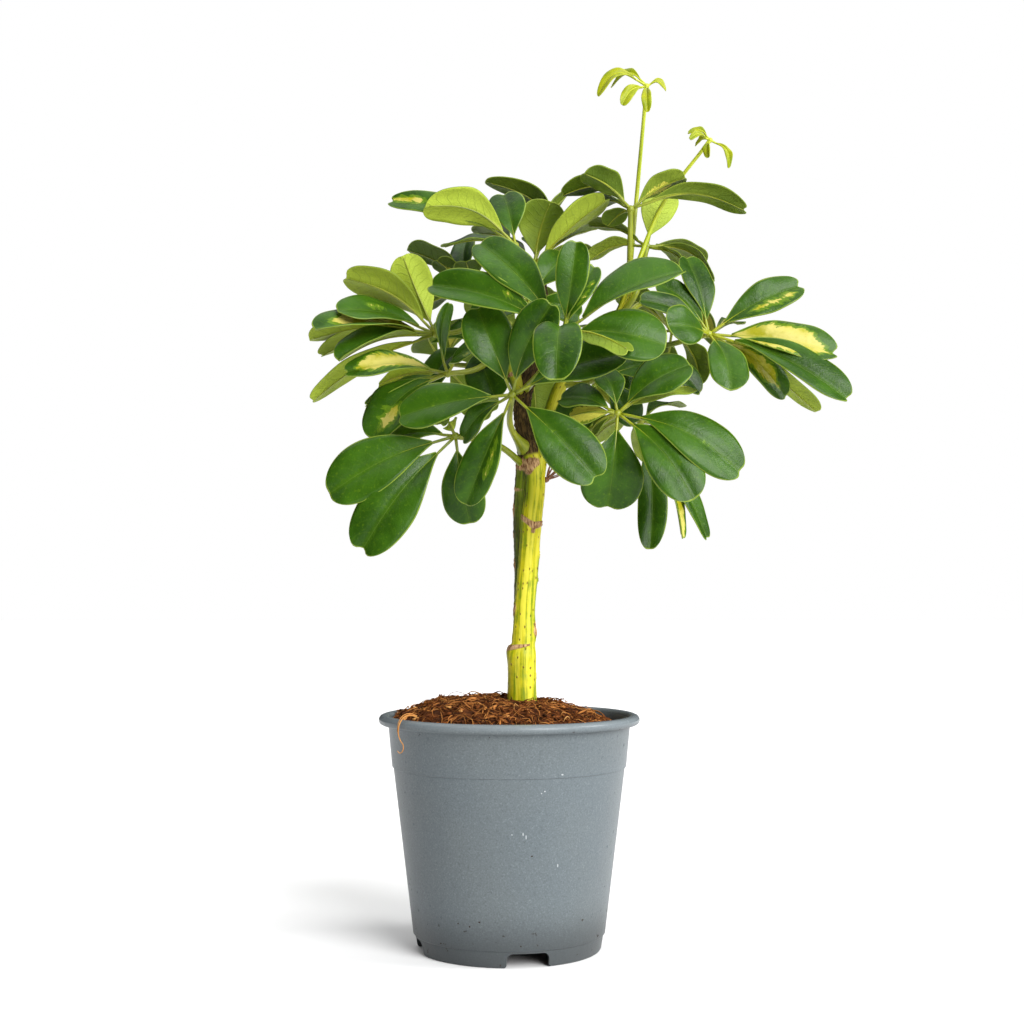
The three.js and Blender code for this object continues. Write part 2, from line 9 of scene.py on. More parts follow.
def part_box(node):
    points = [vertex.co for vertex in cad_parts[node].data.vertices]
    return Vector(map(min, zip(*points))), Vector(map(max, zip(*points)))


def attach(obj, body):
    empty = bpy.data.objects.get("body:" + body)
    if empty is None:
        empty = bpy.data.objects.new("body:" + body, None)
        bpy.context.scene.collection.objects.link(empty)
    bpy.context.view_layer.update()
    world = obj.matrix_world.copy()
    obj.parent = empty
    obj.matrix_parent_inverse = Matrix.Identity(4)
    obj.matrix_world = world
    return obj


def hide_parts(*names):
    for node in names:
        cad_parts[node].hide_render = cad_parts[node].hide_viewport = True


# A potted umbrella plant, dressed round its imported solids. Settings are in millimetres from the
# pot's axis, as in the part's own source, and mm turns them into metres.
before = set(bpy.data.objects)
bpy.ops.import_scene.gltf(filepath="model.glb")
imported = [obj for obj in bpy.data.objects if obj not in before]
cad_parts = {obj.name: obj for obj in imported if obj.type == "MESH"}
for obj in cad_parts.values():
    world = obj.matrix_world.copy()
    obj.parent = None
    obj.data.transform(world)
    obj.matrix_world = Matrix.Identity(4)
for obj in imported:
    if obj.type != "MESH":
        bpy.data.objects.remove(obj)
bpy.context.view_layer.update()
mm = 0.001
potLow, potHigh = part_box("pot")
potAxis = Vector(((potLow.x + potHigh.x) / 2, (potLow.y + potHigh.y) / 2, 0))
viewpoint = Vector((1.4, -837, 184))  # the plant is laid out as seen from here


# Camera, light and floor

cameraSettings = {"place": (1.4, -837, 184.2), "tiltUp": 2.2, "lens": 58.7, "sensor": 36}
lightSettings = {
    "key": {"from": (0.56, -0.84, 0.46), "spread": 38, "strength": 4.7},
    "side": {"from": (1.0, -0.1, 0.6), "spread": 26, "strength": 1.9},
    "top": {"from": (-0.1, 0.1, 1.0), "spread": 80, "strength": 2.1},
}
skySettings = {"glow": 0.04, "seen": 1.0}
floorSettings = {"size": 12000, "colour": (240, 240, 240), "roughness": 0.9}


def addObject(name, data):
    made = bpy.data.objects.new(name, data)
    bpy.context.collection.objects.link(made)
    return made


def meshFrom(name, bm):
    mesh = bpy.data.meshes.new(name)
    bm.to_mesh(mesh)
    bm.free()
    return mesh


def makeCamera(settings):
    data = bpy.data.cameras.new("camera")
    data.lens = settings["lens"]
    data.sensor_width = settings["sensor"]
    data.clip_end = 50
    camera = addObject("camera", data)
    camera.location = potAxis + Vector(settings["place"]) * mm
    camera.rotation_euler = (math.radians(90 + settings["tiltUp"]), 0, 0)
    bpy.context.scene.camera = camera


def makeLight(name, settings):
    # a broad, even studio light that shines from one direction
    data = bpy.data.lights.new(name, "SUN")
    data.angle = math.radians(settings["spread"])
    data.energy = settings["strength"]
    light = addObject(name, data)
    light.rotation_euler = Vector(settings["from"]).to_track_quat("Z", "Y").to_euler()


def makeSky(settings):
    world = bpy.data.worlds.new("sky")
    world.use_nodes = True
    canvas["tree"] = world.node_tree
    background = world.node_tree.nodes["Background"]
    onCamera = addNode("LightPath").outputs["Is Camera Ray"]
    strength = mixNumbers(onCamera, settings["glow"], settings["seen"])
    world.node_tree.links.new(strength, background.inputs["Strength"])
    background.inputs["Color"].default_value = (1, 1, 1, 1)
    bpy.context.scene.world = world


def makeFloor(settings):
    bm = bmesh.new()
    bmesh.ops.create_grid(bm, x_segments=1, y_segments=1, size=settings["size"] / 2 * mm)
    mesh = meshFrom("floor", bm)
    floor = addObject("floor", mesh)
    look = {"Base Color": tint(*settings["colour"]), "Roughness": settings["roughness"]}
    mesh.materials.append(newMaterial("paleFloor", look))


# Places and curves

def seen(x, z, depth):
    reach = 1 - depth / viewpoint.y
    across = viewpoint.x + (x - viewpoint.x) * reach
    height = viewpoint.z + (z - viewpoint.z) * reach
    return potAxis + Vector((across, depth, height)) * mm


def spanPoint(corners, share):
    # a share of the way from the second corner to the third, on a smooth curve through all four
    knots = [0]
    for a, b in zip(corners, corners[1:]):
        knots.append(knots[-1] + max((b - a).length, 1e-9) ** 0.5)
    at = knots[1] + (knots[2] - knots[1]) * share

    def blend(a, b, i, j):
        return a.lerp(b, (at - knots[i]) / (knots[j] - knots[i]))

    lines = [blend(corners[i], corners[i + 1], i, i + 1) for i in range(3)]
    bends = [blend(lines[i], lines[i + 1], i, i + 2) for i in range(2)]
    return blend(bends[0], bends[1], 1, 2)


def densely(points, fine):
    # a smooth curve through the points, in so many steps from each to the next
    ends = [points[0] * 2 - points[1], *points, points[-1] * 2 - points[-2]]
    spans = [(i, j / fine) for i in range(len(points) - 1) for j in range(fine)]
    return [*(spanPoint(ends[i:i + 4], share) for i, share in spans), points[-1].copy()]


def curveThrough(points, steps):
    return evenly(densely(points, 12), steps)


def travelled(points):
    lengths = [0]
    for a, b in zip(points, points[1:]):
        lengths.append(lengths[-1] + (b - a).length)
    return lengths


def evenly(dense, steps):
    lengths = travelled(dense)
    found = []
    i = 0
    for step in range(steps + 1):
        want = lengths[-1] * step / steps
        while i < len(dense) - 2 and lengths[i + 1] < want:
            i += 1
        span = max(lengths[i + 1] - lengths[i], 1e-12)
        found.append(dense[i].lerp(dense[i + 1], (want - lengths[i]) / span))
    return found


def tangentAt(points, i):
    return (points[min(i + 1, len(points) - 1)] - points[max(i - 1, 0)]).normalized()


def bell(value, width):
    # 1 at zero, and near nothing beyond twice the width
    return math.exp(-(value / width) ** 2)


def ramp(value, low, high):
    share = min(1, max(0, (value - low) / (high - low)))
    return share * share * (3 - 2 * share)


# Meshes

def newMesh(*layers):
    bm = bmesh.new()
    for layer in layers:
        bm.verts.layers.float_vector.new(layer)
    return bm


def finishPiece(name, bm, materials, nodes):
    mesh = meshFrom(name, bm)
    mesh.polygons.foreach_set("use_smooth", [True] * len(mesh.polygons))
    piece = addObject(name, mesh)
    for material in materials:
        mesh.materials.append(material)
    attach(piece, "root")
    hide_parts(*nodes)
    return piece


def placeGrid(bm, columns, rows, place):
    # a flat grid whose every point is put where place(column, row) says
    made = bmesh.ops.create_grid(bm, x_segments=columns, y_segments=rows, size=1)["verts"]
    for vert in made:
        column = round((vert.co.x + 1) / 2 * columns)
        row = round((vert.co.y + 1) / 2 * rows)
        place(vert, column, row)
    return made


def tubeInto(bm, points, radii, sides, shape=None, shift=Vector(), look=None):
    # a round tube, closed to a point at both ends; shape(turn, share) swells or dents it
    layers = bm.verts.layers.float_vector
    tangents = [tangentAt(points, i) for i in range(len(points))]
    normal = tangents[0].orthogonal().normalized()
    frames = []
    for tangent in tangents:
        normal = (normal - tangent * normal.dot(tangent)).normalized()
        frames.append((normal.copy(), tangent.cross(normal)))
    lengths = travelled(points)
    rows = len(points) + 1

    def place(vert, column, row):
        i = min(max(row - 1, 0), len(points) - 1)
        radius = 0 if row in (0, rows) else radii[i]
        turn = 2 * math.pi * (column % sides) / sides
        swell = shape(turn, i / (len(points) - 1)) if shape else 1
        out = frames[i][0] * math.cos(turn) + frames[i][1] * math.sin(turn)
        vert.co = points[i] + out * radius * swell
        around = Vector((math.cos(turn) * radii[i], math.sin(turn) * radii[i], lengths[i]))
        vert[layers["grain"]] = around + shift
        if look is not None:
            vert[layers["look"]] = look

    made = placeGrid(bm, sides, rows, place)
    bmesh.ops.remove_doubles(bm, verts=made, dist=1e-7)


def randomShift(dice):
    return Vector((dice.random(), dice.random(), dice.random()))


# Materials

# The node tree being made and its shader, to which the helpers below add.
canvas = {}


def tint(red, green, blue):
    def linear(value):
        value /= 255
        return value / 12.92 if value <= 0.04045 else ((value + 0.055) / 1.055) ** 2.4
    return (linear(red), linear(green), linear(blue), 1)


def addNode(kind, inputs=None, **settings):
    tree = canvas["tree"]
    node = tree.nodes.new("ShaderNode" + kind)
    for key, value in settings.items():
        setattr(node, key, value)
    for key, value in (inputs or {}).items():
        if isinstance(value, bpy.types.NodeSocket):
            tree.links.new(value, node.inputs[key])
        else:
            node.inputs[key].default_value = value
    return node


def newMaterial(name, constants=None):
    material = bpy.data.materials.new(name)
    material.use_nodes = True
    canvas["tree"] = material.node_tree
    material.node_tree.nodes.clear()
    canvas["shader"] = addNode("BsdfPrincipled", constants)
    addNode("OutputMaterial", {0: canvas["shader"].outputs[0]})
    return material


def feed(name, value):
    canvas["tree"].links.new(value, canvas["shader"].inputs[name])


def maths(operation, *values):
    return addNode("Math", dict(enumerate(values)), operation=operation).outputs[0]


def times(a, b):
    return maths("MULTIPLY", a, b)


def timesPlus(a, b, c):
    return maths("MULTIPLY_ADD", a, b, c)


def minus(a, b):
    return maths("SUBTRACT", a, b)


def higher(a, b):
    return maths("MAXIMUM", a, b)


def inverse(value):
    return minus(1, value)


def mixColours(factor, *colours):
    first, second = (tint(*c) if isinstance(c, tuple) else c for c in colours)
    return addNode("Mix", {0: factor, 6: first, 7: second}, data_type="RGBA").outputs[2]


def laid(colour, added, share, most=1):
    # the colour with another one over it, by a share that counts up to most
    return mixColours(share if most == 1 else times(share, most), colour, added)


def mixNumbers(factor, first, second):
    return addNode("Mix", {0: factor, 2: first, 3: second}).outputs[0]


def between(value, low, high):
    # 0 at low, 1 at high, smooth in between
    inputs = {"Value": value, "From Min": low, "From Max": high}
    return addNode("MapRange", inputs, interpolation_type="SMOOTHSTEP").outputs[0]


def noiseAt(vector, scale, detail=2.0, roughness=0.5):
    inputs = {"Vector": vector, "Scale": scale, "Detail": detail, "Roughness": roughness}
    return addNode("TexNoise", inputs).outputs["Fac"]


def stretched(vector, scale, location=(0, 0, 0)):
    return addNode("Mapping", {"Vector": vector, "Scale": scale, "Location": location}).outputs[0]


def splitVector(vector):
    return addNode("SeparateXYZ", {0: vector}).outputs


def joinVector(x, y, z):
    return addNode("CombineXYZ", {0: x, 1: y, 2: z}).outputs[0]


def objectPlace():
    return addNode("TexCoord").outputs["Object"]


def layerVector(name):
    return addNode("Attribute", attribute_name=name).outputs["Vector"]


def addBump(height, distance, strength):
    inputs = {"Height": height, "Distance": distance, "Strength": strength}
    feed("Normal", addNode("Bump", inputs).outputs[0])


# Leaf materials. A blade's UV map runs across it and from its base to its tip. Its look layer
# holds how variegated it is, to which side, and its tone, which for the listed leaflets is partly
# painted light and shade; patch holds where along it the light patch lies and how far it reaches;
# spot holds metres from the midrib, the base and the edge.

veinSettings = {"count": 9, "lean": 0.2, "drift": 0.12}
topSettings = {
    "deep": (18, 45, 2), "fresh": (51, 87, 10), "pale": (98, 128, 20), "cream": (184, 175, 88),
    "yellow": (148, 146, 22), "margin": (122, 142, 48), "midrib": (88, 118, 30),
    "roughness": 0.31, "gloss": 0.18,
}
# the light colour is partly the underside's own paleness and partly painted light, standing in for
# light shining through the blade
underSettings = {
    "light": (162, 180, 56), "dull": (68, 92, 12), "vein": (78, 100, 24), "midrib": (168, 178, 66),
    "yellow": (208, 200, 80), "margin": (168, 182, 64), "roughness": 0.55, "gloss": 0.2,
}
youngSettings = {
    "light": (146, 152, 12), "green": (116, 132, 8), "edge": (172, 178, 40), "roughness": 0.42,
    "gloss": 0.2,
}


def bladePlaces():
    u, along, _ = splitVector(addNode("UVMap", uv_map="blade").outputs[0])
    across = timesPlus(u, 2, -1)
    side = maths("ABSOLUTE", across)
    amount, lean, tone = splitVector(layerVector("look"))
    centre, spread, _ = splitVector(layerVector("patch"))
    offRib, _, toEdge = splitVector(layerVector("spot"))
    seed = times(tone, 57)
    drift = noiseAt(joinVector(times(side, 2), times(along, 3), seed), 1, 1)
    climbed = timesPlus(drift, veinSettings["drift"], timesPlus(side, -veinSettings["lean"], along))
    return {
        "across": across, "side": side, "along": along, "amount": amount, "lean": lean,
        "tone": tone, "centre": centre, "spread": spread, "seed": seed, "toEdge": toEdge,
        "offRib": maths("ABSOLUTE", offRib), "vein": times(climbed, veinSettings["count"]),
    }


def variegation(at, spare):
    # how far a point lies inside the light patch, whose rim is feathered along the veins
    feather = noiseAt(joinVector(at["vein"], at["side"], at["seed"]), 1.7, 4, 0.68)
    off = maths("ABSOLUTE", minus(at["across"], at["lean"]))
    away = minus(maths("ABSOLUTE", minus(at["along"], at["centre"])), at["spread"])
    off = timesPlus(higher(away, 0), 3.2, off)
    reach = timesPlus(at["amount"], 1.35, spare - 0.42)
    ragged = timesPlus(feather, 1.1, minus(reach, 0.45))
    return between(minus(ragged, off), -0.03, 0.04)


def veinLines(at, width):
    line = inverse(between(maths("PINGPONG", at["vein"], 0.5), 0, width))
    return times(line, inverse(between(at["side"], 0.5, 0.95)))


def midribLine(at, width):
    narrow = timesPlus(at["along"], -width * 0.85, width)
    return inverse(between(minus(at["offRib"], narrow), -0.00012, 0.00012))


def makeTopMaterial(look):
    material = newMaterial("leafTop", {"Specular IOR Level": look["gloss"]})
    at = bladePlaces()
    place = objectPlace()
    clouds = noiseAt(place, 75, 4, 0.55)
    shade = timesPlus(clouds, 0.6, times(noiseAt(place, 22, 2), 0.5))
    colour = mixColours(between(shade, 0.38, 0.7), look["deep"], look["fresh"])
    colour = laid(colour, look["fresh"], at["tone"], 0.5)
    lines = veinLines(at, 0.1)
    colour = laid(colour, look["pale"], lines, 0.07)
    specks = between(noiseAt(place, 700, 3, 0.6), 0.56, 0.72)
    colour = laid(colour, look["pale"], specks, 0.26)
    colour = laid(colour, look["pale"], variegation(at, 0.2), 0.6)
    light = mixColours(between(clouds, 0.4, 0.56), look["yellow"], look["cream"])
    colour = laid(colour, light, variegation(at, 0))
    rib = midribLine(at, 0.0003)
    colour = laid(colour, look["midrib"], rib, 0.4)
    colour = laid(colour, look["pale"], inverse(between(at["offRib"], 0, 0.0022)), 0.1)
    uneven = times(noiseAt(place, 130, 2), 0.0008)
    margin = inverse(between(minus(at["toEdge"], uneven), -0.00005, 0.00022))
    feed("Base Color", laid(colour, look["margin"], margin, 0.8))
    feed("Roughness", mixNumbers(clouds, look["roughness"] - 0.06, look["roughness"] + 0.14))
    height = timesPlus(lines, -0.2, times(noiseAt(place, 1500, 3), 0.8))
    height = timesPlus(noiseAt(place, 170, 3), 2.6, height)
    addBump(timesPlus(rib, -0.8, height), 0.00022, 0.6)
    return material


def makeUnderMaterial(look):
    constants = {"Roughness": look["roughness"], "Specular IOR Level": look["gloss"]}
    material = newMaterial("leafUnder", constants)
    at = bladePlaces()
    place = objectPlace()
    shade = timesPlus(noiseAt(place, 60, 3), 0.4, times(at["tone"], 0.6))
    # towards light, the colour is partly painted light shining through the blade
    colour = mixColours(between(shade, 0.15, 0.85), look["dull"], look["light"])
    lines = veinLines(at, 0.09)
    cells = addNode("TexVoronoi", {"Vector": place, "Scale": 620}, feature="DISTANCE_TO_EDGE")
    net = inverse(between(cells.outputs["Distance"], 0.0, 0.12))
    colour = laid(colour, look["vein"], higher(times(lines, 0.34), times(net, 0.18)))
    colour = laid(colour, look["yellow"], variegation(at, 0), 0.75)
    rib = midribLine(at, 0.0006)
    colour = laid(colour, look["midrib"], rib, 0.7)
    margin = inverse(between(at["toEdge"], 0.0001, 0.0005))
    feed("Base Color", laid(colour, look["margin"], margin, 0.5))
    height = timesPlus(rib, 1.5, timesPlus(lines, 1.0, times(net, 0.35)))
    addBump(timesPlus(noiseAt(place, 220, 3), 1.6, height), 0.00025, 0.6)
    return material


def makeYoungMaterial(look):
    constants = {"Roughness": look["roughness"], "Specular IOR Level": look["gloss"]}
    material = newMaterial("youngBlade", constants)
    at = bladePlaces()
    place = objectPlace()
    colour = mixColours(between(noiseAt(place, 130, 3), 0.35, 0.65), look["green"], look["light"])
    edge = inverse(between(at["toEdge"], 0.0, 0.0004))
    colour = laid(colour, look["edge"], edge, 0.6)
    feed("Base Color", laid(colour, look["edge"], midribLine(at, 0.0003)))
    addBump(noiseAt(place, 600, 2), 0.0001, 0.5)
    return material


# Stalk material. The grain layer of a tube runs round it and along it.

stalkSettings = {"green": (94, 110, 9), "yellow": (152, 158, 28), "brown": (104, 72, 32)}
youngStalkSettings = {"green": (152, 166, 24), "yellow": (194, 202, 46), "brown": (140, 126, 40)}


def makeStalkMaterial(name, look):
    material = newMaterial(name, {"Roughness": 0.42})
    place = objectPlace()
    streaks = noiseAt(stretched(layerVector("grain"), (1600, 1600, 60)), 1, 3)
    shade = maths("ADD", times(streaks, 0.5), times(noiseAt(place, 45, 2), 0.6))
    colour = mixColours(between(shade, 0.35, 0.75), look["green"], look["yellow"])
    specks = between(noiseAt(place, 900, 2), 0.68, 0.74)
    feed("Base Color", laid(colour, look["brown"], specks, 0.6))
    addBump(streaks, 0.0002, 0.7)
    return material


# Stems and leaves, as in the part's own source: a stem's points are x, z, depth and radius. A leaf
# grows at its foot, a height on a stem, and its stalk may pass a via point; the tops face the way
# of facing. A leaflet's row is its tip's x, z and depth, then width, arch, roll and fold.

stems = {
    "main": [
        (6.5, 50, 0, 6.4), (6.5, 112, 0, 7.4), (6.5, 143, 0, 7.2), (7.2, 151, 0, 6.0),
        (7.7, 169, 0, 5.0), (9.2, 187, 0, 5.0), (11.3, 212, 0, 5.0), (13.0, 233, 0, 5.0),
        (11.0, 246, 1, 5.2), (7.6, 258, 2, 4.5), (6.6, 271, 3, 4.3), (9.5, 285, 4, 4.4),
        (14, 301, 7, 4.2), (16, 318, 10, 3.7), (16, 334, 13, 2.6),
    ],
    "second": [
        (6.2, 141, 4, 5.0), (6.4, 155, 7, 4.4), (7.2, 187, 8, 4.5), (6.8, 212, 7, 4.6),
        (7.6, 232, 4.5, 4.6), (8.8, 247, 2, 4.6),
    ],
    "left": [
        (7.5, 274, 3, 4.0), (1, 288, 2, 3.6), (-5, 304, 4, 3.3), (-10, 320, 9, 3.0),
        (-13, 333, 14, 2.2),
    ],
    "right": [
        (13.6, 235, 0, 4.4), (15.8, 246, 1, 3.8), (19.5, 261, 3, 3.5), (24.5, 277, 5, 3.4),
        (35, 293, 7, 3.3), (49, 305, 9, 3.2), (58, 320, 10, 3.0), (62, 336, 12, 2.4),
    ],
}

leaves = {
    "leaf_front": {
        "foot": ("second", 248), "via": (0.8, 259, -19), "clasp": 2.8, "hub": (1.5, 275.5, -50),
        "facing": (-0.1, -0.88, 0.46),
        "leaflets": [
            (-56, 264, -38, 24, 5, 0, 10), (-16.5, 320.5, -48, 24, 5, 0, 10),
            (22.5, 323, -70, 22, 5, 0, 10), (59.5, 297, -56, 22, 4, 0, 10),
            (45, 231.5, -62, 27, 3, 0, 8), (-22, 219.5, -46, 21, 5, 10, 16),
            (-23.5, 252.5, -30, 14, 5, 0, 10),
        ],
    },
    "leaf_upper_front": {
        "foot": ("main", 279), "hub": (27, 306.5, -62), "facing": (0, -0.75, 0.65),
        "leaflets": [
            (34, 354, -70, 16.5, 4, 0, 18), (43.5, 341, -58, 14, 4, 10, 20),
            (23.5, 280.5, -104, 23, 14, 0, 15), (61, 297, -84, 17, 4, 160, 10),
            (88.5, 338, -52, 30, 7, -14, 26), (-15.5, 352.5, -40, 23, 6, -8, 16),
            (-40.5, 331, -44, 22, 7, -16, 26), (79.5, 300, -70, 29, 6, 12, 8),
        ],
    },
    "leaf_left_low": {
        "foot": ("second", 239.5), "via": (-6, 250, -15), "hub": (-27, 254.5, -30),
        "facing": (-0.3, -0.62, 0.72),
        "leaflets": [
            (-91, 225, -34, 29, 5, -34, 10), (-75, 195, -42, 30, 6, -25, 10),
            (-62, 252, -10, 18, 4, 0, 10), (-19.5, 210, -30, 22, 5, 0, 8),
            (-30, 261, -8, 9, 3, 160, 10),
        ],
    },
    "leaf_left_middle": {
        "foot": ("left", 299), "hub": (-31, 286, -8), "facing": (-0.5, -0.35, 0.8),
        "leaflets": [
            (-69.5, 252, -22, 29, 7, -28, 10), (-84, 286, -18, 18, 5, -30, 14),
            (-66.5, 279.5, 8, 14, 3, 150, 10), (-14.5, 299, -26, 19, 4, 10, 10),
            (-30, 322, 5, 9, 4, 80, 10), (-73, 269, -6, 17, 4, 0, 10),
        ],
    },
    "leaf_left_upper": {
        "foot": ("left", 320), "hub": (-37, 306, 14), "facing": (-0.35, 0.1, 0.93),
        "leaflets": [
            (-54, 346.5, 10, 21.5, 3, 12, 12), (-84.5, 335, 12, 27, 7, 22, 10),
            (-88, 318, -8, 23, 5.5, -54, 14), (-99.5, 308, -20, 25, 4.5, -46, 26),
            (-101.5, 303, 12, 26, 6, 14, 16), (-96.5, 294, 26, 19, 7, 14, 20),
            (-87, 291.5, -14, 24, 6, -36, 34), (-100, 271.5, 14, 17, 5, 20, 14),
        ],
    },
    "leaf_back_left_top": {
        "foot": ("left", 331), "hub": (-19.5, 327, 45), "facing": (-0.2, 0.3, 0.93),
        "leaflets": [
            (-52, 349, 50, 24, 5, 0, 15), (-21, 355, 64, 18, 5, 0, 15),
            (-37, 344, 26, 13, 3, 0, 10), (-47, 317, 47, 22, 4, 0, 12),
            (-22, 343, 22, 15, 3, 0, 10), (-62, 322, 84, 20, 6, 0, 15), (10, 334, 88, 20, 6, 0, 15),
        ],
    },
    "leaf_top_left": {
        "foot": ("main", 333), "hub": (3, 351, -8), "facing": (-0.2, 0.1, 0.97),
        "leaflets": [
            (-61.5, 373.5, 2, 17, 7, -60, 14), (-43, 371, -20, 23, 8, 34, 10),
            (-3, 377.5, 8, 19, 3, 0, 12), (-14, 362, 34, 15, 4, 0, 15),
            (-34, 350, 12, 15, 4, -20, 15),
        ],
    },
    "leaf_top_centre": {
        "foot": ("main", 327), "hub": (12.5, 341.5, 20), "facing": (0, 0.3, 0.95),
        "leaflets": [
            (21, 374, 14, 27, 4, 0, 12), (50.5, 375.5, 4, 25, 2, 10, 16),
            (-13, 384, 28, 19, 21, 0, 15), (36, 383, 38, 15, 6, 0, 15), (42, 344, 42, 18, 5, 0, 15),
            (46, 360, 54, 17, 4, 0, 15), (16, 352, 76, 20, 6, 0, 15), (-18, 357, 62, 18, 6, 0, 15),
        ],
    },
    "leaf_top_right": {
        "foot": ("right", 333), "hub": (61.3, 369.5, 0), "facing": (0.05, 0.3, 0.95),
        "leaflets": [
            (25.5, 376, 10, 19, 9.5, 0, 16), (37.5, 388, -13, 18, 3, 12, 18),
            (90, 386, -4, 17, 3.5, -10, 16), (121, 368, -6, 16, 9.5, -14, 16),
            (41, 369, 38, 16, 5, 0, 15), (49, 360.5, 15, 13, 3, 0, 12),
        ],
    },
    "leaf_right_top": {
        "foot": ("right", 313), "via": (64, 327, 2), "hub": (69.5, 350.5, 18),
        "facing": (0.1, 0.2, 0.97),
        "leaflets": [
            (82, 379.5, 29, 19, 3, -90, 12), (103.5, 332, 12, 16, 9, 10, 15),
            (90.5, 341, 2, 8, 3, 0, 15), (39.5, 343, 26, 17, 5, 0, 15),
            (39.5, 361, 36, 17, 4, 0, 15), (92, 337, 58, 18, 6, 0, 15), (99, 342, 40, 16, 5, 0, 15),
        ],
    },
    "leaf_right": {
        "foot": ("right", 300), "hub": (100.5, 306, -14), "facing": (0.25, -0.6, 0.76),
        "leaflets": [
            (89, 345.5, -4, 19, 4, 0, 12), (74.5, 332, -14, 15, 4, -25, 14),
            (64.5, 323.5, -26, 14, 4, -20, 20), (79, 310.5, -42, 21, 3, -35, 8),
            (148, 331, -10, 19, 4.5, 24, 14), (166, 295.5, -16, 25, 3.5, 18, 20),
            (171.5, 272, -30, 25, 6, 12, 22), (139.5, 274, -8, 17, 5, 34, 14),
            (155.5, 266, 8, 17, 3, -58, 12), (111.5, 277, -42, 22, 5, 0, 10),
            (115.5, 311, 14, 12, 4, -20, 10),
        ],
    },
    "leaf_right_low": {
        "foot": ("right", 250), "hub": (54.5, 266, -38), "facing": (0.1, -0.7, 0.7),
        "leaflets": [
            (117, 235.5, -44, 28, 8, 14, 6), (93, 222, -56, 27, 5, 12, 8),
            (49, 217.5, -32, 31, 6, 0, 14), (30, 264, -31, 11, 3, 150, 10),
            (25, 273, -31, 20, 4, 0, 15), (45.5, 288, -30, 16, 4, 0, 15),
            (91.5, 291, -40, 26, 5, 0, 10), (92, 279, -16, 22, 5, 150, 10),
            (41, 254.5, -24, 9, 3, 160, 10),
        ],
    },
    "leaf_right_under": {
        "foot": ("right", 293), "hub": (66, 262, 12), "facing": (0.2, 0.1, 0.97),
        "leaflets": [
            (70.5, 197, -4, 15.5, 5, 66, 12), (87, 202, 14, 13, 5, 40, 20),
            (99.5, 202, 24, 15, 4, 55, 12), (73, 226, 18, 12, 4, -80, 12),
            (87, 269, 44, 14, 5, 0, 15), (106, 242, 52, 18, 6, 0, 12), (70, 240, 68, 20, 6, 0, 12),
            (40, 250, 52, 17, 6, 0, 12),
        ],
    },
    "leaf_inner_left": {
        "foot": ("main", 304), "hub": (-16, 300, 22), "facing": (-0.25, -0.7, 0.65),
        "wheel": {"count": 5, "length": 38, "width": 23, "droop": 12, "turn": 80},
    },
    "leaf_inner_right": {
        "foot": ("right", 305), "hub": (62, 296, 24), "facing": (0.2, -0.6, 0.75),
        "wheel": {"count": 5, "length": 41, "width": 22, "droop": 12, "turn": 110},
    },
    "leaf_inner_centre": {
        "foot": ("main", 312), "hub": (10, 324, -8), "facing": (0, -0.95, 0.3),
        "wheel": {"count": 5, "length": 33, "width": 19, "droop": 8, "turn": 54},
    },
    "leaf_inner_low": {
        "foot": ("right", 281), "hub": (46, 284, -11), "facing": (0.15, -0.95, 0.3),
        "wheel": {"count": 5, "length": 35, "width": 20, "droop": 8, "turn": 18},
    },
    "leaf_back_left": {
        "foot": ("left", 292), "hub": (-33, 291, 68), "facing": (-0.6, 0.68, 0.42),
        "wheel": {"count": 6, "length": 41, "width": 23, "droop": 26, "turn": 34},
    },
    "leaf_back_centre": {
        "foot": ("main", 291), "hub": (8, 303, 88), "facing": (0, 0.9, 0.45),
        "wheel": {"count": 5, "length": 43, "width": 25, "droop": 14, "turn": 45},
    },
    "leaf_back_right": {
        "foot": ("right", 311), "via": (70, 322, 40), "hub": (82, 308, 62),
        "facing": (0.6, 0.62, 0.5),
        "wheel": {"count": 6, "length": 43, "width": 24, "droop": 22, "turn": 0},
    },
    "young_leaf_tall": {
        "foot": ("right", 327), "via": (64.2, 374, 41), "hub": (69.6, 432.3, 20),
        "facing": (-0.1, -0.1, 1), "slim": 0.75,
        "leaflets": [
            (44.5, 427, 16, 8, 9.5, -50, 20), (51.5, 431.5, 28, 8, 7.5, -40, 20),
            (57, 422.3, 10, 7, 4, -55, 20), (59.5, 423.8, 22, 5, 3, -60, 20),
            (70.1, 418.8, 6, 5.5, 4, 0, 20), (79.6, 429.8, 22, 5, 4, 55, 20),
        ],
    },
    "young_leaf_short": {
        "foot": ("right", 335), "via": (78, 372.5, 12), "hub": (101.6, 404.6, 4),
        "facing": (0, -0.1, 1), "slim": 0.7,
        "leaflets": [
            (90.1, 408.3, 4, 4.2, 3, -50, 20), (91.1, 405, -4, 4, 3, -50, 20),
            (94.1, 401.8, 10, 4.4, 2, -60, 20), (100.6, 395.3, 0, 4.4, 3, 20, 20),
            (111.2, 390.2, 4, 4.2, 5, 60, 20),
        ],
    },
}

bladeSettings = {
    "columns": 12, "rows": 26, "thickness": 0.42, "stalkShare": 0.17, "base": 0.06, "widest": 0.6,
    "swell": 1.1, "edgeRow": 0.93, "crowding": 1.35, "notchWidth": 0.2, "pleat": 0.09,
    "groove": 0.4, "grooveWidth": 0.6,
}
ribSettings = {
    "steps": 20, "sides": 6, "start": 0.02, "reach": 0.93, "hub": 0.85, "base": 0.72, "tip": 0.14,
    "knob": 2.0,
}
petioleSettings = {
    "foot": 1.8, "hub": 1.2, "claspShare": 0.4, "sag": 4, "middle": 0.55, "ridge": 0.035,
    "steps": 26, "sides": 12,
}
wheelSettings = {"arch": 6, "fold": 12, "step": 0.08}

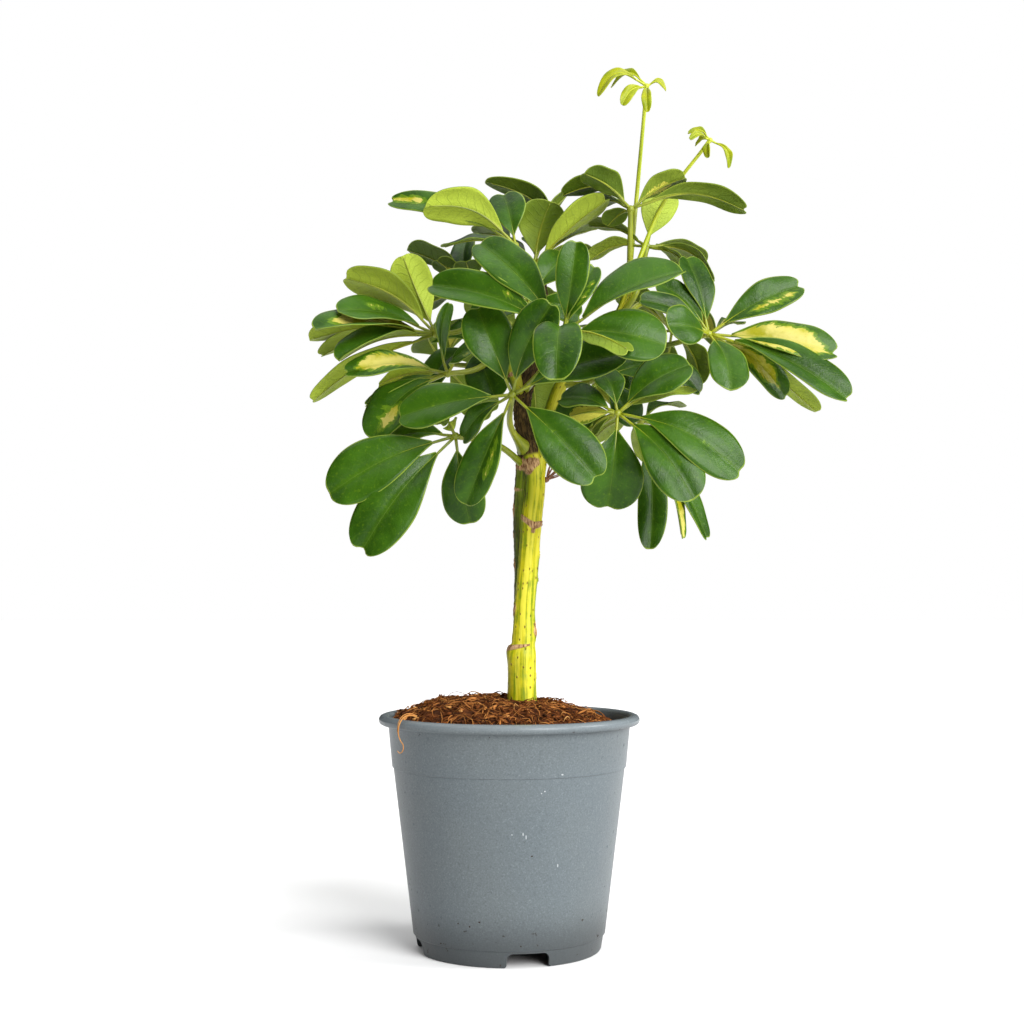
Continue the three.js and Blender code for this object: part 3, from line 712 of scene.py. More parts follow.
# Light patches: leaf, then leaflet, then how much is light, to which side, and where along the
# blade the patch lies and how far it reaches.
patches = {
    "leaf_front": {6: (0.2, -0.5, 0.5, 0.2)},
    "leaf_upper_front": {7: (0.22, 0.45, 0.3, 0.04), 2: (0.2, 0.6, 0.5, 0.2)},
    "leaf_left_middle": {
        1: (0.42, -0.25, 0.72, 0.09), 2: (0.66, 0.1, 0.42, 0.3), 3: (0.3, 0, 0.5, 0.3),
        4: (0.3, 0.6, 0.85, 0.04),
    },
    "leaf_left_upper": {
        3: (0.22, 0.3, 0.55, 0.06), 4: (0.6, 0.28, 0.34, 0.3), 5: (0.2, 0, 0.5, 0.2),
    },
    "leaf_back_left_top": {3: (0.35, 0, 0.5, 0.15), 4: (0.2, 0.2, 0.5, 0.2)},
    "leaf_top_left": {1: (0.34, 0.2, 0.86, 0.08)},
    "leaf_top_right": {3: (0.52, -0.2, 0.42, 0.2)},
    "leaf_right": {
        5: (0.3, 0.42, 0.62, 0.22), 6: (0.86, 0.12, 0.4, 0.3), 8: (0.6, 0.1, 0.4, 0.3),
        9: (0.4, 0, 0.2, 0.2), 11: (0.6, 0, 0.5, 0.4),
    },
    "leaf_right_low": {4: (0.8, 0, 0.5, 0.4), 8: (0.25, 0.2, 0.5, 0.3)},
    "leaf_right_under": {2: (0.7, 0, 0.5, 0.4), 4: (0.8, 0, 0.5, 0.4)},
    "leaf_back_left": {2: (0.6, 0.1, 0.5, 0.3), 5: (0.3, 0.4, 0.6, 0.1)},
    "leaf_back_right": {1: (0.5, -0.2, 0.5, 0.2), 4: (0.7, 0.1, 0.5, 0.3)},
    "leaf_back_centre": {3: (0.45, 0.2, 0.5, 0.2)},
}

# How light leaflets are, most of all underneath: leaf, then leaflet, with 0 for the leaf's others.
# These tones paint light and shade as well as the leaflets' own tone: leaflets deep in the crown
# and at the back are darker as if in shade, others lighter where light falls on them.
# A leaflet that isn't here gets a random tone.
tonesAndShade = {
    "leaf_top_centre": {0: 0.2, 1: 0.25, 2: 0.9, 3: 0.1},
    "leaf_top_right": {0: 0.1, 3: 0.35, 4: 0.25}, "leaf_right_top": {0: 0.3, 1: 0.75, 4: 0.6},
    "leaf_left_upper": {0: 0.55, 1: 0.9, 2: 0.75, 8: 0.7},
    "leaf_top_left": {0: 0.3, 2: 0.9}, "leaf_back_left": {0: 0.2}, "leaf_back_left_top": {0: 0},
    "leaf_back_right": {0: 0.2}, "leaf_back_centre": {0: 0.3}, "leaf_inner_right": {0: 0.1},
    "leaf_inner_left": {0: 0.1}, "leaf_right_under": {0: 0.5},
}


def onStem(name, height):
    points = curveThrough([seen(*point[:3]) for point in stems[name]], 120)
    return min(points, key=lambda point: abs(point.z - height * mm))


def halfWidthAt(share, tip):
    settings = bladeSettings
    if share < settings["widest"]:
        rise = math.sin(share / settings["widest"] * math.pi / 2) ** settings["swell"]
        return settings["base"] + (1 - settings["base"]) * rise
    beyond = (share - settings["widest"]) / (1 - settings["widest"])
    return max(0, 1 - beyond ** tip) ** 0.5


def leafletFrame(hub, facing, tip, width, arch, roll, fold, dice):
    along = tip - hub
    length = along.length
    along.normalize()
    bow = (facing - along * facing.dot(along)).normalized()
    up = Matrix.Rotation(math.radians(roll), 3, along) @ bow
    return {
        "hub": hub, "along": along, "bow": bow, "up": up, "side": along.cross(up),
        "length": length, "half": width / 2 * mm, "arch": arch * mm, "fold": math.radians(fold),
        "tip": dice.uniform(2.3, 2.9), "notch": dice.uniform(0.01, 0.06), "phase": dice.random(),
        "wave": dice.uniform(0.3, 0.9) * mm, "cup": dice.uniform(0.16, 0.34),
        "twist": math.radians(dice.uniform(-7, 7)), "bend": dice.uniform(-1.2, 1.2) * mm,
    }


def spinePoint(leaflet, share):
    sway = math.sin(math.pi * share)
    return (
        leaflet["hub"] + leaflet["along"] * leaflet["length"] * share
        + leaflet["bow"] * leaflet["arch"] * sway + leaflet["side"] * leaflet["bend"] * sway
    )


def bladePoint(leaflet, across, row):
    settings = bladeSettings
    edge = settings["edgeRow"] * row
    half = halfWidthAt(edge, leaflet["tip"])
    endHalf = halfWidthAt(settings["edgeRow"], leaflet["tip"])
    capShare = (1 - (across * endHalf) ** 2) ** (1 / leaflet["tip"])
    cap = settings["widest"] + (1 - settings["widest"]) * capShare - settings["edgeRow"]
    notch = leaflet["notch"] * bell(across * endHalf, settings["notchWidth"])
    share = edge + cap * row ** 4 - notch * row ** 8
    at = settings["stalkShare"] + (1 - settings["stalkShare"]) * share
    turn = Matrix.Rotation(leaflet["twist"] * (at - 0.4), 3, leaflet["along"])
    x = across * half
    ripple = leaflet["phase"] + (0.37 if across < 0 else 0)
    bulge = leaflet["cup"] * (1.5 * abs(x) - 2 * x * x + 0.25 * x ** 4)
    lift = math.sin(leaflet["fold"]) * (math.hypot(x, 0.1) - 0.1) + bulge
    wave = leaflet["wave"] * x ** 2 * math.sin(2 * math.pi * (1.7 * share + ripple))
    pleats = math.sin(2 * math.pi * (9 * share - 1.8 * abs(x) + 5 * ripple))
    wave += settings["pleat"] * mm * abs(x) * (1 - x * x) * pleats
    inGroove = bell(across * half * leaflet["half"], settings["grooveWidth"] * mm)
    groove = -settings["groove"] * mm * inGroove * (1 - share)
    return (
        spinePoint(leaflet, at)
        + turn @ leaflet["side"] * x * leaflet["half"] * math.cos(leaflet["fold"])
        + turn @ leaflet["up"] * (lift * leaflet["half"] + wave + groove)
    )


def bladeInto(bm, leaflet, look, patch):
    settings = bladeSettings
    layers = bm.verts.layers.float_vector
    reach = (1 - settings["stalkShare"]) * leaflet["length"]
    uvLayer = bm.loops.layers.uv["blade"]
    columns, rows = settings["columns"], settings["rows"]
    places = {}

    def place(vert, column, row):
        across = column / columns * 2 - 1
        along = 1 - (1 - row / rows) ** settings["crowding"]
        vert.co = bladePoint(leaflet, across, along)
        half = halfWidthAt(settings["edgeRow"] * along, leaflet["tip"]) * leaflet["half"]
        toEdge = min((1 - abs(across)) * half, (1 - along) * reach)
        vert[layers["look"]] = look
        vert[layers["patch"]] = patch
        vert[layers["spot"]] = Vector((across * half, along * reach, toEdge))
        places[vert] = (column / columns, along)

    made = placeGrid(bm, columns, rows, place)
    for face in {face for vert in made for face in vert.link_faces}:
        for loop in face.loops:
            loop[uvLayer].uv = places[loop.vert]


def ribInto(bm, leaflet, slim, dice):
    settings = ribSettings
    share = bladeSettings["stalkShare"]
    points = []
    radii = []
    for step in range(settings["steps"] + 1):
        at = settings["start"] + settings["reach"] * step / settings["steps"]
        inBlade = max(0, (at - share) / (1 - share))
        radius = settings["hub"] + (settings["base"] - settings["hub"]) * min(1, at / share)
        radius += (settings["tip"] - settings["base"]) * inBlade ** 0.8
        sink = min(1, at / share) * (0.5 + radius * 0.5) * mm
        points.append(spinePoint(leaflet, at) - leaflet["up"] * sink)
        radii.append(radius * mm * slim)
    tubeInto(bm, points, radii, settings["sides"], shift=randomShift(dice))


def petiolePoints(leaf):
    settings = petioleSettings
    start = onStem(*leaf["foot"])
    end = seen(*leaf["hub"])
    sag = Vector(leaf["facing"]).normalized() * settings["sag"] * mm
    middle = seen(*leaf["via"]) if "via" in leaf else start.lerp(end, settings["middle"]) - sag
    return curveThrough([start, middle, end], settings["steps"])


def petioleInto(bm, leaf, slim, dice):
    settings = petioleSettings
    points = petiolePoints(leaf)
    radii = []
    for i in range(len(points)):
        share = i / (len(points) - 1)
        radius = settings["foot"] + (settings["hub"] - settings["foot"]) * share
        swell = 0.5 * bell(share, 0.12) + 0.35 * bell(1 - share, 0.07)
        clasp = leaf.get("clasp", 0) * max(0, 1 - share / settings["claspShare"]) ** 2
        radii.append(((radius + swell) * slim + clasp) * mm)
    phase = dice.uniform(0, 6)

    def shape(turn, share):
        return 1 + settings["ridge"] * math.sin(5 * turn + phase + 2 * share)

    shift = Vector((dice.random(), 0, dice.random()))
    tubeInto(bm, points, radii, settings["sides"], shape, shift)


def wheelLeaflets(hub, facing, wheel):
    across = Vector((0, 0, 1)).cross(facing).normalized()
    upwards = facing.cross(across)
    fall = math.radians(wheel["droop"])
    rows = []
    for i in range(wheel["count"]):
        angle = math.radians(wheel["turn"] + 360 * i / wheel["count"])
        size = 1 - wheelSettings["step"] * ((i * 2) % 3)
        flat = across * math.cos(angle) + upwards * math.sin(angle)
        direction = flat * math.cos(fall) - facing * math.sin(fall)
        tip = hub + direction * wheel["length"] * size * mm
        rows.append((tip, wheel["width"] * size, wheelSettings["arch"], 0, wheelSettings["fold"]))
    return rows


def makeLeaf(name, leaf, materials):
    slim = leaf.get("slim", 1)
    hub = seen(*leaf["hub"])
    facing = Vector(leaf["facing"]).normalized()
    if "wheel" in leaf:
        rows = wheelLeaflets(hub, facing, leaf["wheel"])
    else:
        rows = [(seen(x, z, depth), *form) for x, z, depth, *form in leaf["leaflets"]]
    blades = newMesh("look", "patch", "spot")
    blades.loops.layers.uv.new("blade")
    stalks = newMesh("grain")
    dice = random.Random(name)
    petioleInto(stalks, leaf, slim, dice)
    radius = ribSettings["knob"] * mm * slim
    knob = bmesh.ops.create_icosphere(stalks, subdivisions=2, radius=radius)
    bmesh.ops.translate(stalks, verts=knob["verts"], vec=hub)
    named = tonesAndShade.get(name, {})
    for i, row in enumerate(rows, 1):
        leaflet = leafletFrame(hub, facing, *row, dice)
        amount, lean, centre, spread = patches.get(name, {}).get(i, (0, 0, 0.5, 0.5))
        tone = dice.random()
        tone = named.get(i, named.get(0, tone))
        bladeInto(blades, leaflet, Vector((amount, lean, tone)), Vector((centre, spread, 0)))
        ribInto(stalks, leaflet, slim, dice)
    if "slim" in leaf:
        top, under, stalk = materials["young"], materials["young"], materials["youngStalk"]
    else:
        top, under, stalk = materials["top"], materials["under"], materials["stalk"]
    piece = finishPiece(name + "_blades", blades, [top, under], [name])
    solid = piece.modifiers.new("thickness", "SOLIDIFY")
    solid.thickness = bladeSettings["thickness"] * mm
    solid.offset = -1
    solid.material_offset = 1
    finishPiece(name + "_stalks", stalks, [stalk], [name])


# Stem. Its mark layer holds how far a point is scar, green, and old fibrous bark; the green share
# also carries painted shade on the stems' left sides.

barkSettings = {"sides": 60, "pitch": 0.6, "ringHeight": 211.2, "wedgeHeight": 147, "oldFrom": 243}
barkLook = {
    "yellow": (188, 178, 16), "light": (206, 198, 56), "green": (94, 122, 6), "deep": (34, 44, 1),
    "tan": (196, 160, 116), "brown": (96, 58, 30), "old": (46, 35, 16), "oldLight": (112, 88, 48),
    "gloss": 0.2,
}
# Small raised scars and buds: stem, z, azimuth, half angle, half height, lift, and how brown.
barkScars = [
    ("main", 195.5, -14, 20, 2.2, 0.75, 0.25), ("main", 156.5, -12, 24, 2.6, 0.8, 0.9),
    ("main", 160.5, -20, 14, 1.6, 0.4, 0.6), ("main", 168, -168, 24, 2.4, 0.7, 0.9),
    ("main", 164.5, -176, 18, 1.4, 0.4, 0.6), ("main", 134, -8, 10, 2.6, 0.35, 0.5),
    ("second", 218, 176, 28, 3.4, 0.6, 0.9), ("second", 205, 172, 24, 1.6, 0.35, 0.6),
    ("second", 190, 178, 30, 2.6, 0.55, 0.8), ("second", 228, -150, 60, 1.2, 0.3, 0.5),
    ("main", 240.5, -112, 56, 2.6, 0.9, 1.1), ("main", 237, -128, 26, 2.0, 0.7, 1.0),
    ("second", 241, -120, 60, 2.8, 1.0, 1.1), ("right", 262, -90, 90, 1.2, 0.4, 0.6),
    ("left", 286, -90, 90, 1.2, 0.4, 0.6), ("left", 306, -90, 120, 1.2, 0.35, 0.5),
    ("right", 300, -90, 120, 1.2, 0.35, 0.5), ("main", 206.8, -78, 12, 1.3, 0.7, 0.75),
    ("second", 166.5, 180, 30, 2.2, 0.5, 0.8), ("main", 182.5, -8, 16, 1.6, 0.7, 0.1),
]


def turnApart(a, b):
    return abs((a - b + 180) % 360 - 180)


def mainBark(height, azimuth, lift, scar):
    # the main stem's ring, shoulder, wedge-shaped scar, green strip, painted shade on its left side
    # and old bark
    settings = barkSettings
    angle = math.radians(azimuth)
    ring = settings["ringHeight"] - 1.7 * bell(turnApart(azimuth, -76), 44)
    ring += 2.2 * bell(turnApart(azimuth, 180), 70)
    apart = 0.75 + 0.45 * bell(turnApart(azimuth, -72), 44)
    ridges = bell(height - ring - apart, 0.5) + bell(height - ring + apart, 0.45)
    band = bell(height - ring, apart + 0.35)
    lift += 0.55 * ridges + 0.12 * band
    scar += min(1, 0.6 * ridges + 0.8 * band)
    shoulder = 1.1 * bell(turnApart(azimuth, 178), 52) * ramp(-height, -150, -148.8)
    lift += shoulder * ramp(height, 138, 147)
    share = ((azimuth + 190) % 360) / 130
    if share < 1:
        thick = 1.7 * (1 - share) + 0.35
        wedge = bell(height - settings["wedgeHeight"] - 3.4 * share, thick)
        lift += 0.45 * wedge
        scar += 0.95 * wedge
    strip = bell(turnApart(azimuth, -16), 17) * ramp(height, 149, 155) * ramp(-height, -197, -192)
    lift += 0.5 * strip
    # painted shade: high on its left side the stem is made dark green through its green mark, as if
    # in shade
    shadeSide = bell(turnApart(azimuth, -150), 48) * ramp(height, 214, 224)
    green = 0.85 * strip + 0.9 * shadeSide
    old = ramp(height, settings["oldFrom"], settings["oldFrom"] + 4)
    low = ramp(-height, -132, -112)
    lift += 0.35 * low * (0.5 + noise.noise(Vector((2 * angle, 5, height * 0.2))))
    return lift, scar, green, old


def barkDetail(name, height, azimuth):
    # the lift of the bark in millimetres, and its mark, at a height and azimuth of a stem
    angle = math.radians(azimuth)
    around = Vector((math.cos(angle), math.sin(angle), 0))
    ribs = noise.noise(around * 2.6 + Vector((0, 0, height * 0.012)))
    lift = 0.3 * ribs + 0.1 * noise.noise(around * 9 + Vector((3, 0, height * 0.03)))
    lift += 0.12 * noise.noise(Vector((3 * angle, 7, height * 0.35)))
    scar = green = old = 0
    for stem, z, turn, halfTurn, halfHeight, raised, brown in barkScars:
        if stem == name:
            near = bell(turnApart(azimuth, turn), halfTurn) * bell(height - z, halfHeight)
            torn = 0.75 + 0.6 * noise.noise(Vector((4 * angle, 1, height * 1.1)))
            lift += raised * near * torn
            scar += brown * near * (0.7 + torn * 0.5)
    if name == "main":
        lift, scar, green, old = mainBark(height, azimuth, lift, scar)
    if name == "second":
        green += 0.9
        inner = bell(turnApart(azimuth, 178), 26)
        old = 0.2 + 0.5 * inner * (0.5 + noise.noise(Vector((1, 2, height * 0.16))))
        scar += 0.25 * bell(turnApart(azimuth, 178), 22)
        old = max(old, ramp(height, 241, 246))
    if name in ("left", "right"):
        green += 0.12 if name == "right" else 0.35
        # painted shade: the left side, away from the key light, is made greener as if in shade
        green += 0.8 * bell(turnApart(azimuth, -165), 46)
        old = 0.1
    if old > 0.3:
        rough = noise.noise(Vector((5 * math.cos(angle), 5 * math.sin(angle), height * 0.55)))
        scale = abs(((height + 1.5 * noise.noise(around * 2)) / 3.6) % 1 - 0.5)
        lift += old * (0.55 * rough + 0.5 * (0.5 - scale))
    return lift, Vector((min(1, scar), min(1, green), min(1, old)))


def stemInto(bm, name):
    settings = barkSettings
    rows = stems[name]
    knots = [seen(*row[:3]) for row in rows]
    fine = 24
    dense = densely(knots, fine)
    radii = []
    for (*_, a), (*_, b) in zip(rows, rows[1:]):
        radii.extend(a + (b - a) * ramp(j / fine, 0, 1) for j in range(fine))
    radii.append(rows[-1][3])
    lengths = travelled(dense)
    steps = math.ceil(lengths[-1] / (settings["pitch"] * mm))
    points = evenly(dense, steps)
    tiny = 1e-6  # keeps the radii from counting as length
    spread = [Vector((radius * tiny, far, 0)) for radius, far in zip(radii, lengths)]
    spread = evenly(spread, steps)
    layers = bm.verts.layers.float_vector
    sides = settings["sides"]

    def place(vert, column, row):
        i = min(max(row - 1, 0), steps)
        tangent = tangentAt(points, i)
        across = Vector((0, 1, 0)).cross(tangent).normalized()
        front = tangent.cross(across)
        turn = 2 * math.pi * (column % sides) / sides
        out = across * math.cos(turn) + front * math.sin(turn)
        height = points[i].z / mm
        lift, marks = barkDetail(name, height, math.degrees(math.atan2(out.y, out.x)))
        radius = spread[i].x / tiny + lift
        vert.co = points[i] + out * (0 if row in (0, steps + 2) else radius) * mm
        vert[layers["grain"]] = Vector((out.x * 5, out.y * 5, height)) * mm
        vert[layers["mark"]] = marks

    made = placeGrid(bm, sides, steps + 2, place)
    bmesh.ops.remove_doubles(bm, verts=made, dist=1e-7)


def makeBarkMaterial(look):
    material = newMaterial("bark", {"Specular IOR Level": look["gloss"]})
    grain = layerVector("grain")
    # green is partly real green bark and partly painted shade on the stems' left sides
    scar, green, old = splitVector(layerVector("mark"))
    bands = noiseAt(stretched(grain, (430, 430, 13)), 1, 3, 0.6)
    thin = noiseAt(stretched(grain, (1500, 1500, 48)), 1, 3, 0.65)
    clouds = noiseAt(objectPlace(), 120, 4, 0.65)
    colour = mixColours(between(bands, 0.4, 0.6), look["light"], look["yellow"])
    streaks = timesPlus(clouds, 0.3, timesPlus(thin, 0.45, times(bands, 0.6)))
    colour = laid(colour, look["green"], higher(times(between(streaks, 0.64, 0.8), 0.85), green))
    # where green is strong, deep dark green is laid over it, which carries that painted shade too
    shaded = timesPlus(minus(streaks, 0.67), 2.2, green)
    colour = laid(colour, look["deep"], between(shaded, 0.65, 1.15), 0.85)
    grainX, grainY, grainZ = splitVector(grain)
    around = times(maths("ARCTAN2", grainY, grainX), 2.2)
    unrolled = {"Vector": joinVector(around, times(grainZ, 190), 0), "Scale": 1, "Randomness": 1}
    cells = addNode("TexVoronoi", unrolled, voronoi_dimensions="2D")
    chosen = between(splitVector(cells.outputs["Color"])[0], 0.6, 0.62)
    near = between(timesPlus(thin, 0.12, cells.outputs["Distance"]), 0.22, 0.12)
    dots = times(chosen, near)
    colour = laid(colour, look["brown"], dots, 0.85)
    fibres = noiseAt(stretched(grain, (1500, 1500, 260)), 1, 4, 0.65)
    aged = mixColours(between(fibres, 0.42, 0.72), look["old"], look["oldLight"])
    colour = laid(colour, aged, between(timesPlus(fibres, 0.3, old), 0.15, 0.95))
    papery = mixColours(between(fibres, 0.35, 0.65), look["brown"], look["tan"])
    scarred = between(timesPlus(fibres, 0.5, scar), 0.45, 0.75)
    feed("Base Color", laid(colour, papery, scarred))
    dry = higher(scarred, old)
    feed("Roughness", mixNumbers(dry, 0.42, 0.85))
    relief = timesPlus(thin, 0.5, times(dots, 0.9))
    addBump(timesPlus(times(fibres, higher(dry, 0.15)), 1.8, relief), 0.0004, 0.8)
    return material


dryStalks = {
    "root": (18.6, 232.5, 0), "radius": 0.5, "knob": 1.7, "bow": 0.7, "stray": 1.1, "steps": 14,
    "sides": 7,
    "tips": [(21, 244.5, 0), (23.5, 242, 6), (26, 239.5, -3), (28.5, 236.5, 3), (28.5, 240, -1)],
}
dryLook = {"green": (84, 46, 28), "yellow": (132, 84, 48), "brown": (50, 28, 20)}


def randomWay(dice, lowest):
    return Vector((dice.uniform(-1, 1), dice.uniform(-1, 1), dice.uniform(lowest, 1)))


def makeDryStalks(material):
    bm = newMesh("grain")
    dice = random.Random("dry")
    root = seen(*dryStalks["root"])
    steps = dryStalks["steps"]
    knob = bmesh.ops.create_icosphere(bm, subdivisions=3, radius=dryStalks["knob"] * mm)["verts"]
    for vert in knob:
        vert.co = root + vert.co * (0.8 + 0.3 * noise.noise(vert.co * 1500))
    for tip in dryStalks["tips"]:
        end = seen(*tip)
        for extra in range(2):
            bow = randomWay(dice, -0.4) * dryStalks["bow"] * mm
            stray = randomWay(dice, -1) * dryStalks["stray"] * mm * extra
            reach = 1 - 0.25 * extra * dice.random()
            middle = root.lerp(end, 0.5 * reach) + bow
            points = curveThrough([root, middle, root.lerp(end, reach) + stray], steps)
            size = dryStalks["radius"] * (1 - 0.35 * extra) * mm
            radii = []
            for i in range(steps + 1):
                uneven = 0.12 * noise.noise(Vector((i * 0.8, extra, size)))
                radii.append(size * (1 - 0.45 * i / steps + uneven))
            tubeInto(bm, points, radii, dryStalks["sides"], shift=randomShift(dice))
    finishPiece("dry_tuft", bm, [material], ["dry_stalks"])


def makeStem():
    bm = newMesh("grain", "mark")
    for name in stems:
        stemInto(bm, name)
    finishPiece("stem", bm, [makeBarkMaterial(barkLook)], ["trunk"])
    makeDryStalks(makeStalkMaterial("dryStalk", dryLook))


# Pot

potSettings = {
    "height": 115.5, "rimRadius": 65, "rimDepth": 4.6, "underRimRadius": 60.3, "bandRadius": 58.2,
    "bandHeight": 90, "wallFootRadius": 47.6, "wall": 1.2, "footHeight": 8, "footTopRadius": 46.8,
    "footRadius": 45.2, "footInnerRadius": 42.8, "floorThickness": 1.6, "steps": 144,
    "sharpFrom": 38,
}
notchSettings = {
    "count": 4, "width": 20.5, "height": 7, "corner": 3, "flare": 1.2, "overcut": 4,
    "firstAngle": -78.5,
}
drainSettings = {"count": 8, "radius": 4, "circle": 31, "depth": 6}
potLook = {
    "body": (92, 100, 104), "dark": (72, 79, 82), "pale": (122, 130, 134), "dust": (106, 110, 108),
    # the first colour on the next line is painted shade, laid low on the wall near the floor
    "paintedFootShade": (58, 61, 62), "soiled": (48, 38, 31), "nicked": (158, 163, 166),
    # the first colour on the next line is painted shade for the inside of the foot ring
    "under": (10, 10, 10), "roughness": 0.38, "rimRoughness": 0.23, "gloss": 0.2,
    # nicks and specks of the front wall: x, z, half width, half height, and whether it is dirt
    "nicks": [
        (1.4, 63.8, 0.32, 0.32, False), (6.6, 64.0, 0.3, 0.8, False), (8.0, 62.6, 0.28, 1.0, False),
        (16.8, 83.9, 0.4, 0.34, False), (15.2, 83.0, 0.3, 0.3, False), (25, 91.5, 0.5, 0.35, False),
        (22.9, 48.4, 0.28, 0.8, False), (10.7, 53.5, 0.5, 0.4, True), (-14, 22, 0.5, 0.4, True),
        (-18.5, 19.5, 0.4, 0.5, True), (-24, 20.5, 0.4, 0.35, True), (35, 20.5, 0.6, 0.35, True),
    ],
}


def makePotMaterial(look):
    material = newMaterial("potPlastic", {"Specular IOR Level": look["gloss"]})
    place = objectPlace()
    x, _, height = splitVector(place)
    across, front, _ = splitVector(stretched(place, (1, 1, 1), -potAxis))
    clouds = noiseAt(place, 16, 3, 0.5)
    patchy = noiseAt(place, 330, 2)
    grain = noiseAt(place, 1250, 3, 0.75)
    dusty = between(clouds, 0.3, 0.7)
    colour = mixColours(0.3, look["body"], mixColours(dusty, look["body"], look["dust"]))
    colour = laid(colour, look["pale"], between(grain, 0.5, 0.85))
    colour = laid(colour, look["dark"], between(grain, 0.5, 0.18))
    colour = laid(colour, look["nicked"], between(noiseAt(place, 800, 1), 0.74, 0.8), 0.06)
    # painted shade: the wall darkens, unevenly, towards the foot where the floor's contact shade
    # falls
    footShade = timesPlus(clouds, 0.3, between(height, 0.036, 0))
    colour = laid(colour, look["paintedFootShade"], between(footShade, 0.15, 1.2), 0.8)
    nearFoot = between(height, 0.024, 0.012)
    nearRim = times(between(height, 0.1075, 0.11), between(height, 0.1125, 0.111))
    spots = between(patchy, 0.68, 0.72)
    often = timesPlus(higher(nearFoot, nearRim), 0.85, 0.05)
    colour = laid(colour, look["soiled"], times(spots, often))
    onFront = maths("LESS_THAN", front, -0.02)
    marked = 0
    for nickX, nickZ, halfWidth, halfHeight, dirt in look["nicks"]:
        centre = potAxis + Vector((nickX, 0, nickZ)) * mm
        aside = maths("DIVIDE", minus(x, centre.x), halfWidth * mm)
        up = maths("DIVIDE", minus(height, centre.z), halfHeight * mm)
        far = maths("ADD", times(aside, aside), times(up, up))
        ragged = timesPlus(grain, 1.6, minus(far, 0.8))
        spot = times(between(ragged, 1.2, 0.7), onFront)
        colour = laid(colour, look["soiled" if dirt else "nicked"], spot)
        marked = higher(spot, marked)
    # the rim's top edge is smoother, and its colour is lightened towards pale as a painted
    # highlight
    rimGlossAndHighlight = between(height, 0.1115, 0.1145)
    colour = laid(colour, look["pale"], rimGlossAndHighlight, 0.5)
    outward = maths("SQRT", timesPlus(front, front, times(across, across)))
    # painted shade: the inside of the foot ring and the underside are painted near black
    paintedShadeInFoot = times(between(outward, 0.0438, 0.0428), between(height, 0.0095, 0.0085))
    feed("Base Color", laid(colour, look["under"], paintedShadeInFoot))
    rough = mixNumbers(dusty, look["roughness"] - 0.03, look["roughness"] + 0.06)
    rough = mixNumbers(rimGlossAndHighlight, rough, look["rimRoughness"])
    feed("Roughness", mixNumbers(spots, rough, 0.8))
    addBump(timesPlus(marked, -1.4, timesPlus(grain, 0.5, patchy)), 0.00014, 0.6)
    return material


def potProfile(settings):
    top = settings["height"]
    under = top - settings["rimDepth"]
    wall = settings["wall"]
    rim = settings["rimRadius"]
    neck = settings["underRimRadius"]
    band = settings["bandRadius"]
    bandHeight = settings["bandHeight"]
    wallFoot = settings["wallFootRadius"]
    foot = settings["footHeight"]
    footTop = settings["footTopRadius"]
    footOut = settings["footRadius"]
    footIn = settings["footInnerRadius"]
    floor = foot + settings["floorThickness"]
    outside = [
        (0, foot), (footIn - 0.5, foot), (footIn, foot - 0.5), (footIn, 0.25), (footIn + 0.25, 0),
        (footOut - 0.5, 0), (footOut, 0.3), (footOut + 0.4, 0.9), (footTop - 0.05, foot - 0.5),
        (footTop + 0.1, foot - 0.1), (wallFoot - 0.4, foot), (wallFoot, foot + 0.5),
        (band - 0.72, bandHeight - 0.9), (band - 0.55, bandHeight - 0.35),
        (band - 0.1, bandHeight - 0.1), (band + 0.05, bandHeight + 0.4),
        (neck - 0.15, under - 0.6), (neck + 0.3, under - 0.1),
    ]
    lip = [
        (rim - 3.4, under - 0.05), (rim - 1.5, under), (rim - 0.55, under + 0.55),
        (rim - 0.08, under + 1.5), (rim, under + 2.4), (rim - 0.3, under + 3.3),
        (rim - 1.0, top - 0.5), (rim - 2.0, top - 0.1), (rim - 3.0, top), (neck + 0.6, top - 0.05),
        (neck - 0.2, top - 0.5), (neck - 0.7, top - 1.6),
    ]
    inside = [
        (neck - wall, under), (band - wall, bandHeight), (wallFoot - wall + 0.2, floor + 0.8),
        (wallFoot - wall - 0.6, floor), (0, floor),
    ]
    return [*outside, *lip, *inside]


def spunProfile(bm, profile, steps):
    verts = [bm.verts.new(Vector((radius, 0, height)) * mm) for radius, height in profile]
    edges = [bm.edges.new(pair) for pair in zip(verts, verts[1:])]
    bmesh.ops.spin(
        bm, geom=verts + edges, cent=(0, 0, 0), axis=(0, 0, 1), dvec=(0, 0, 0), angle=2 * math.pi,
        steps=steps, use_merge=True,
    )
    bmesh.ops.remove_doubles(bm, verts=bm.verts, dist=1e-6)
    bmesh.ops.recalc_face_normals(bm, faces=bm.faces)


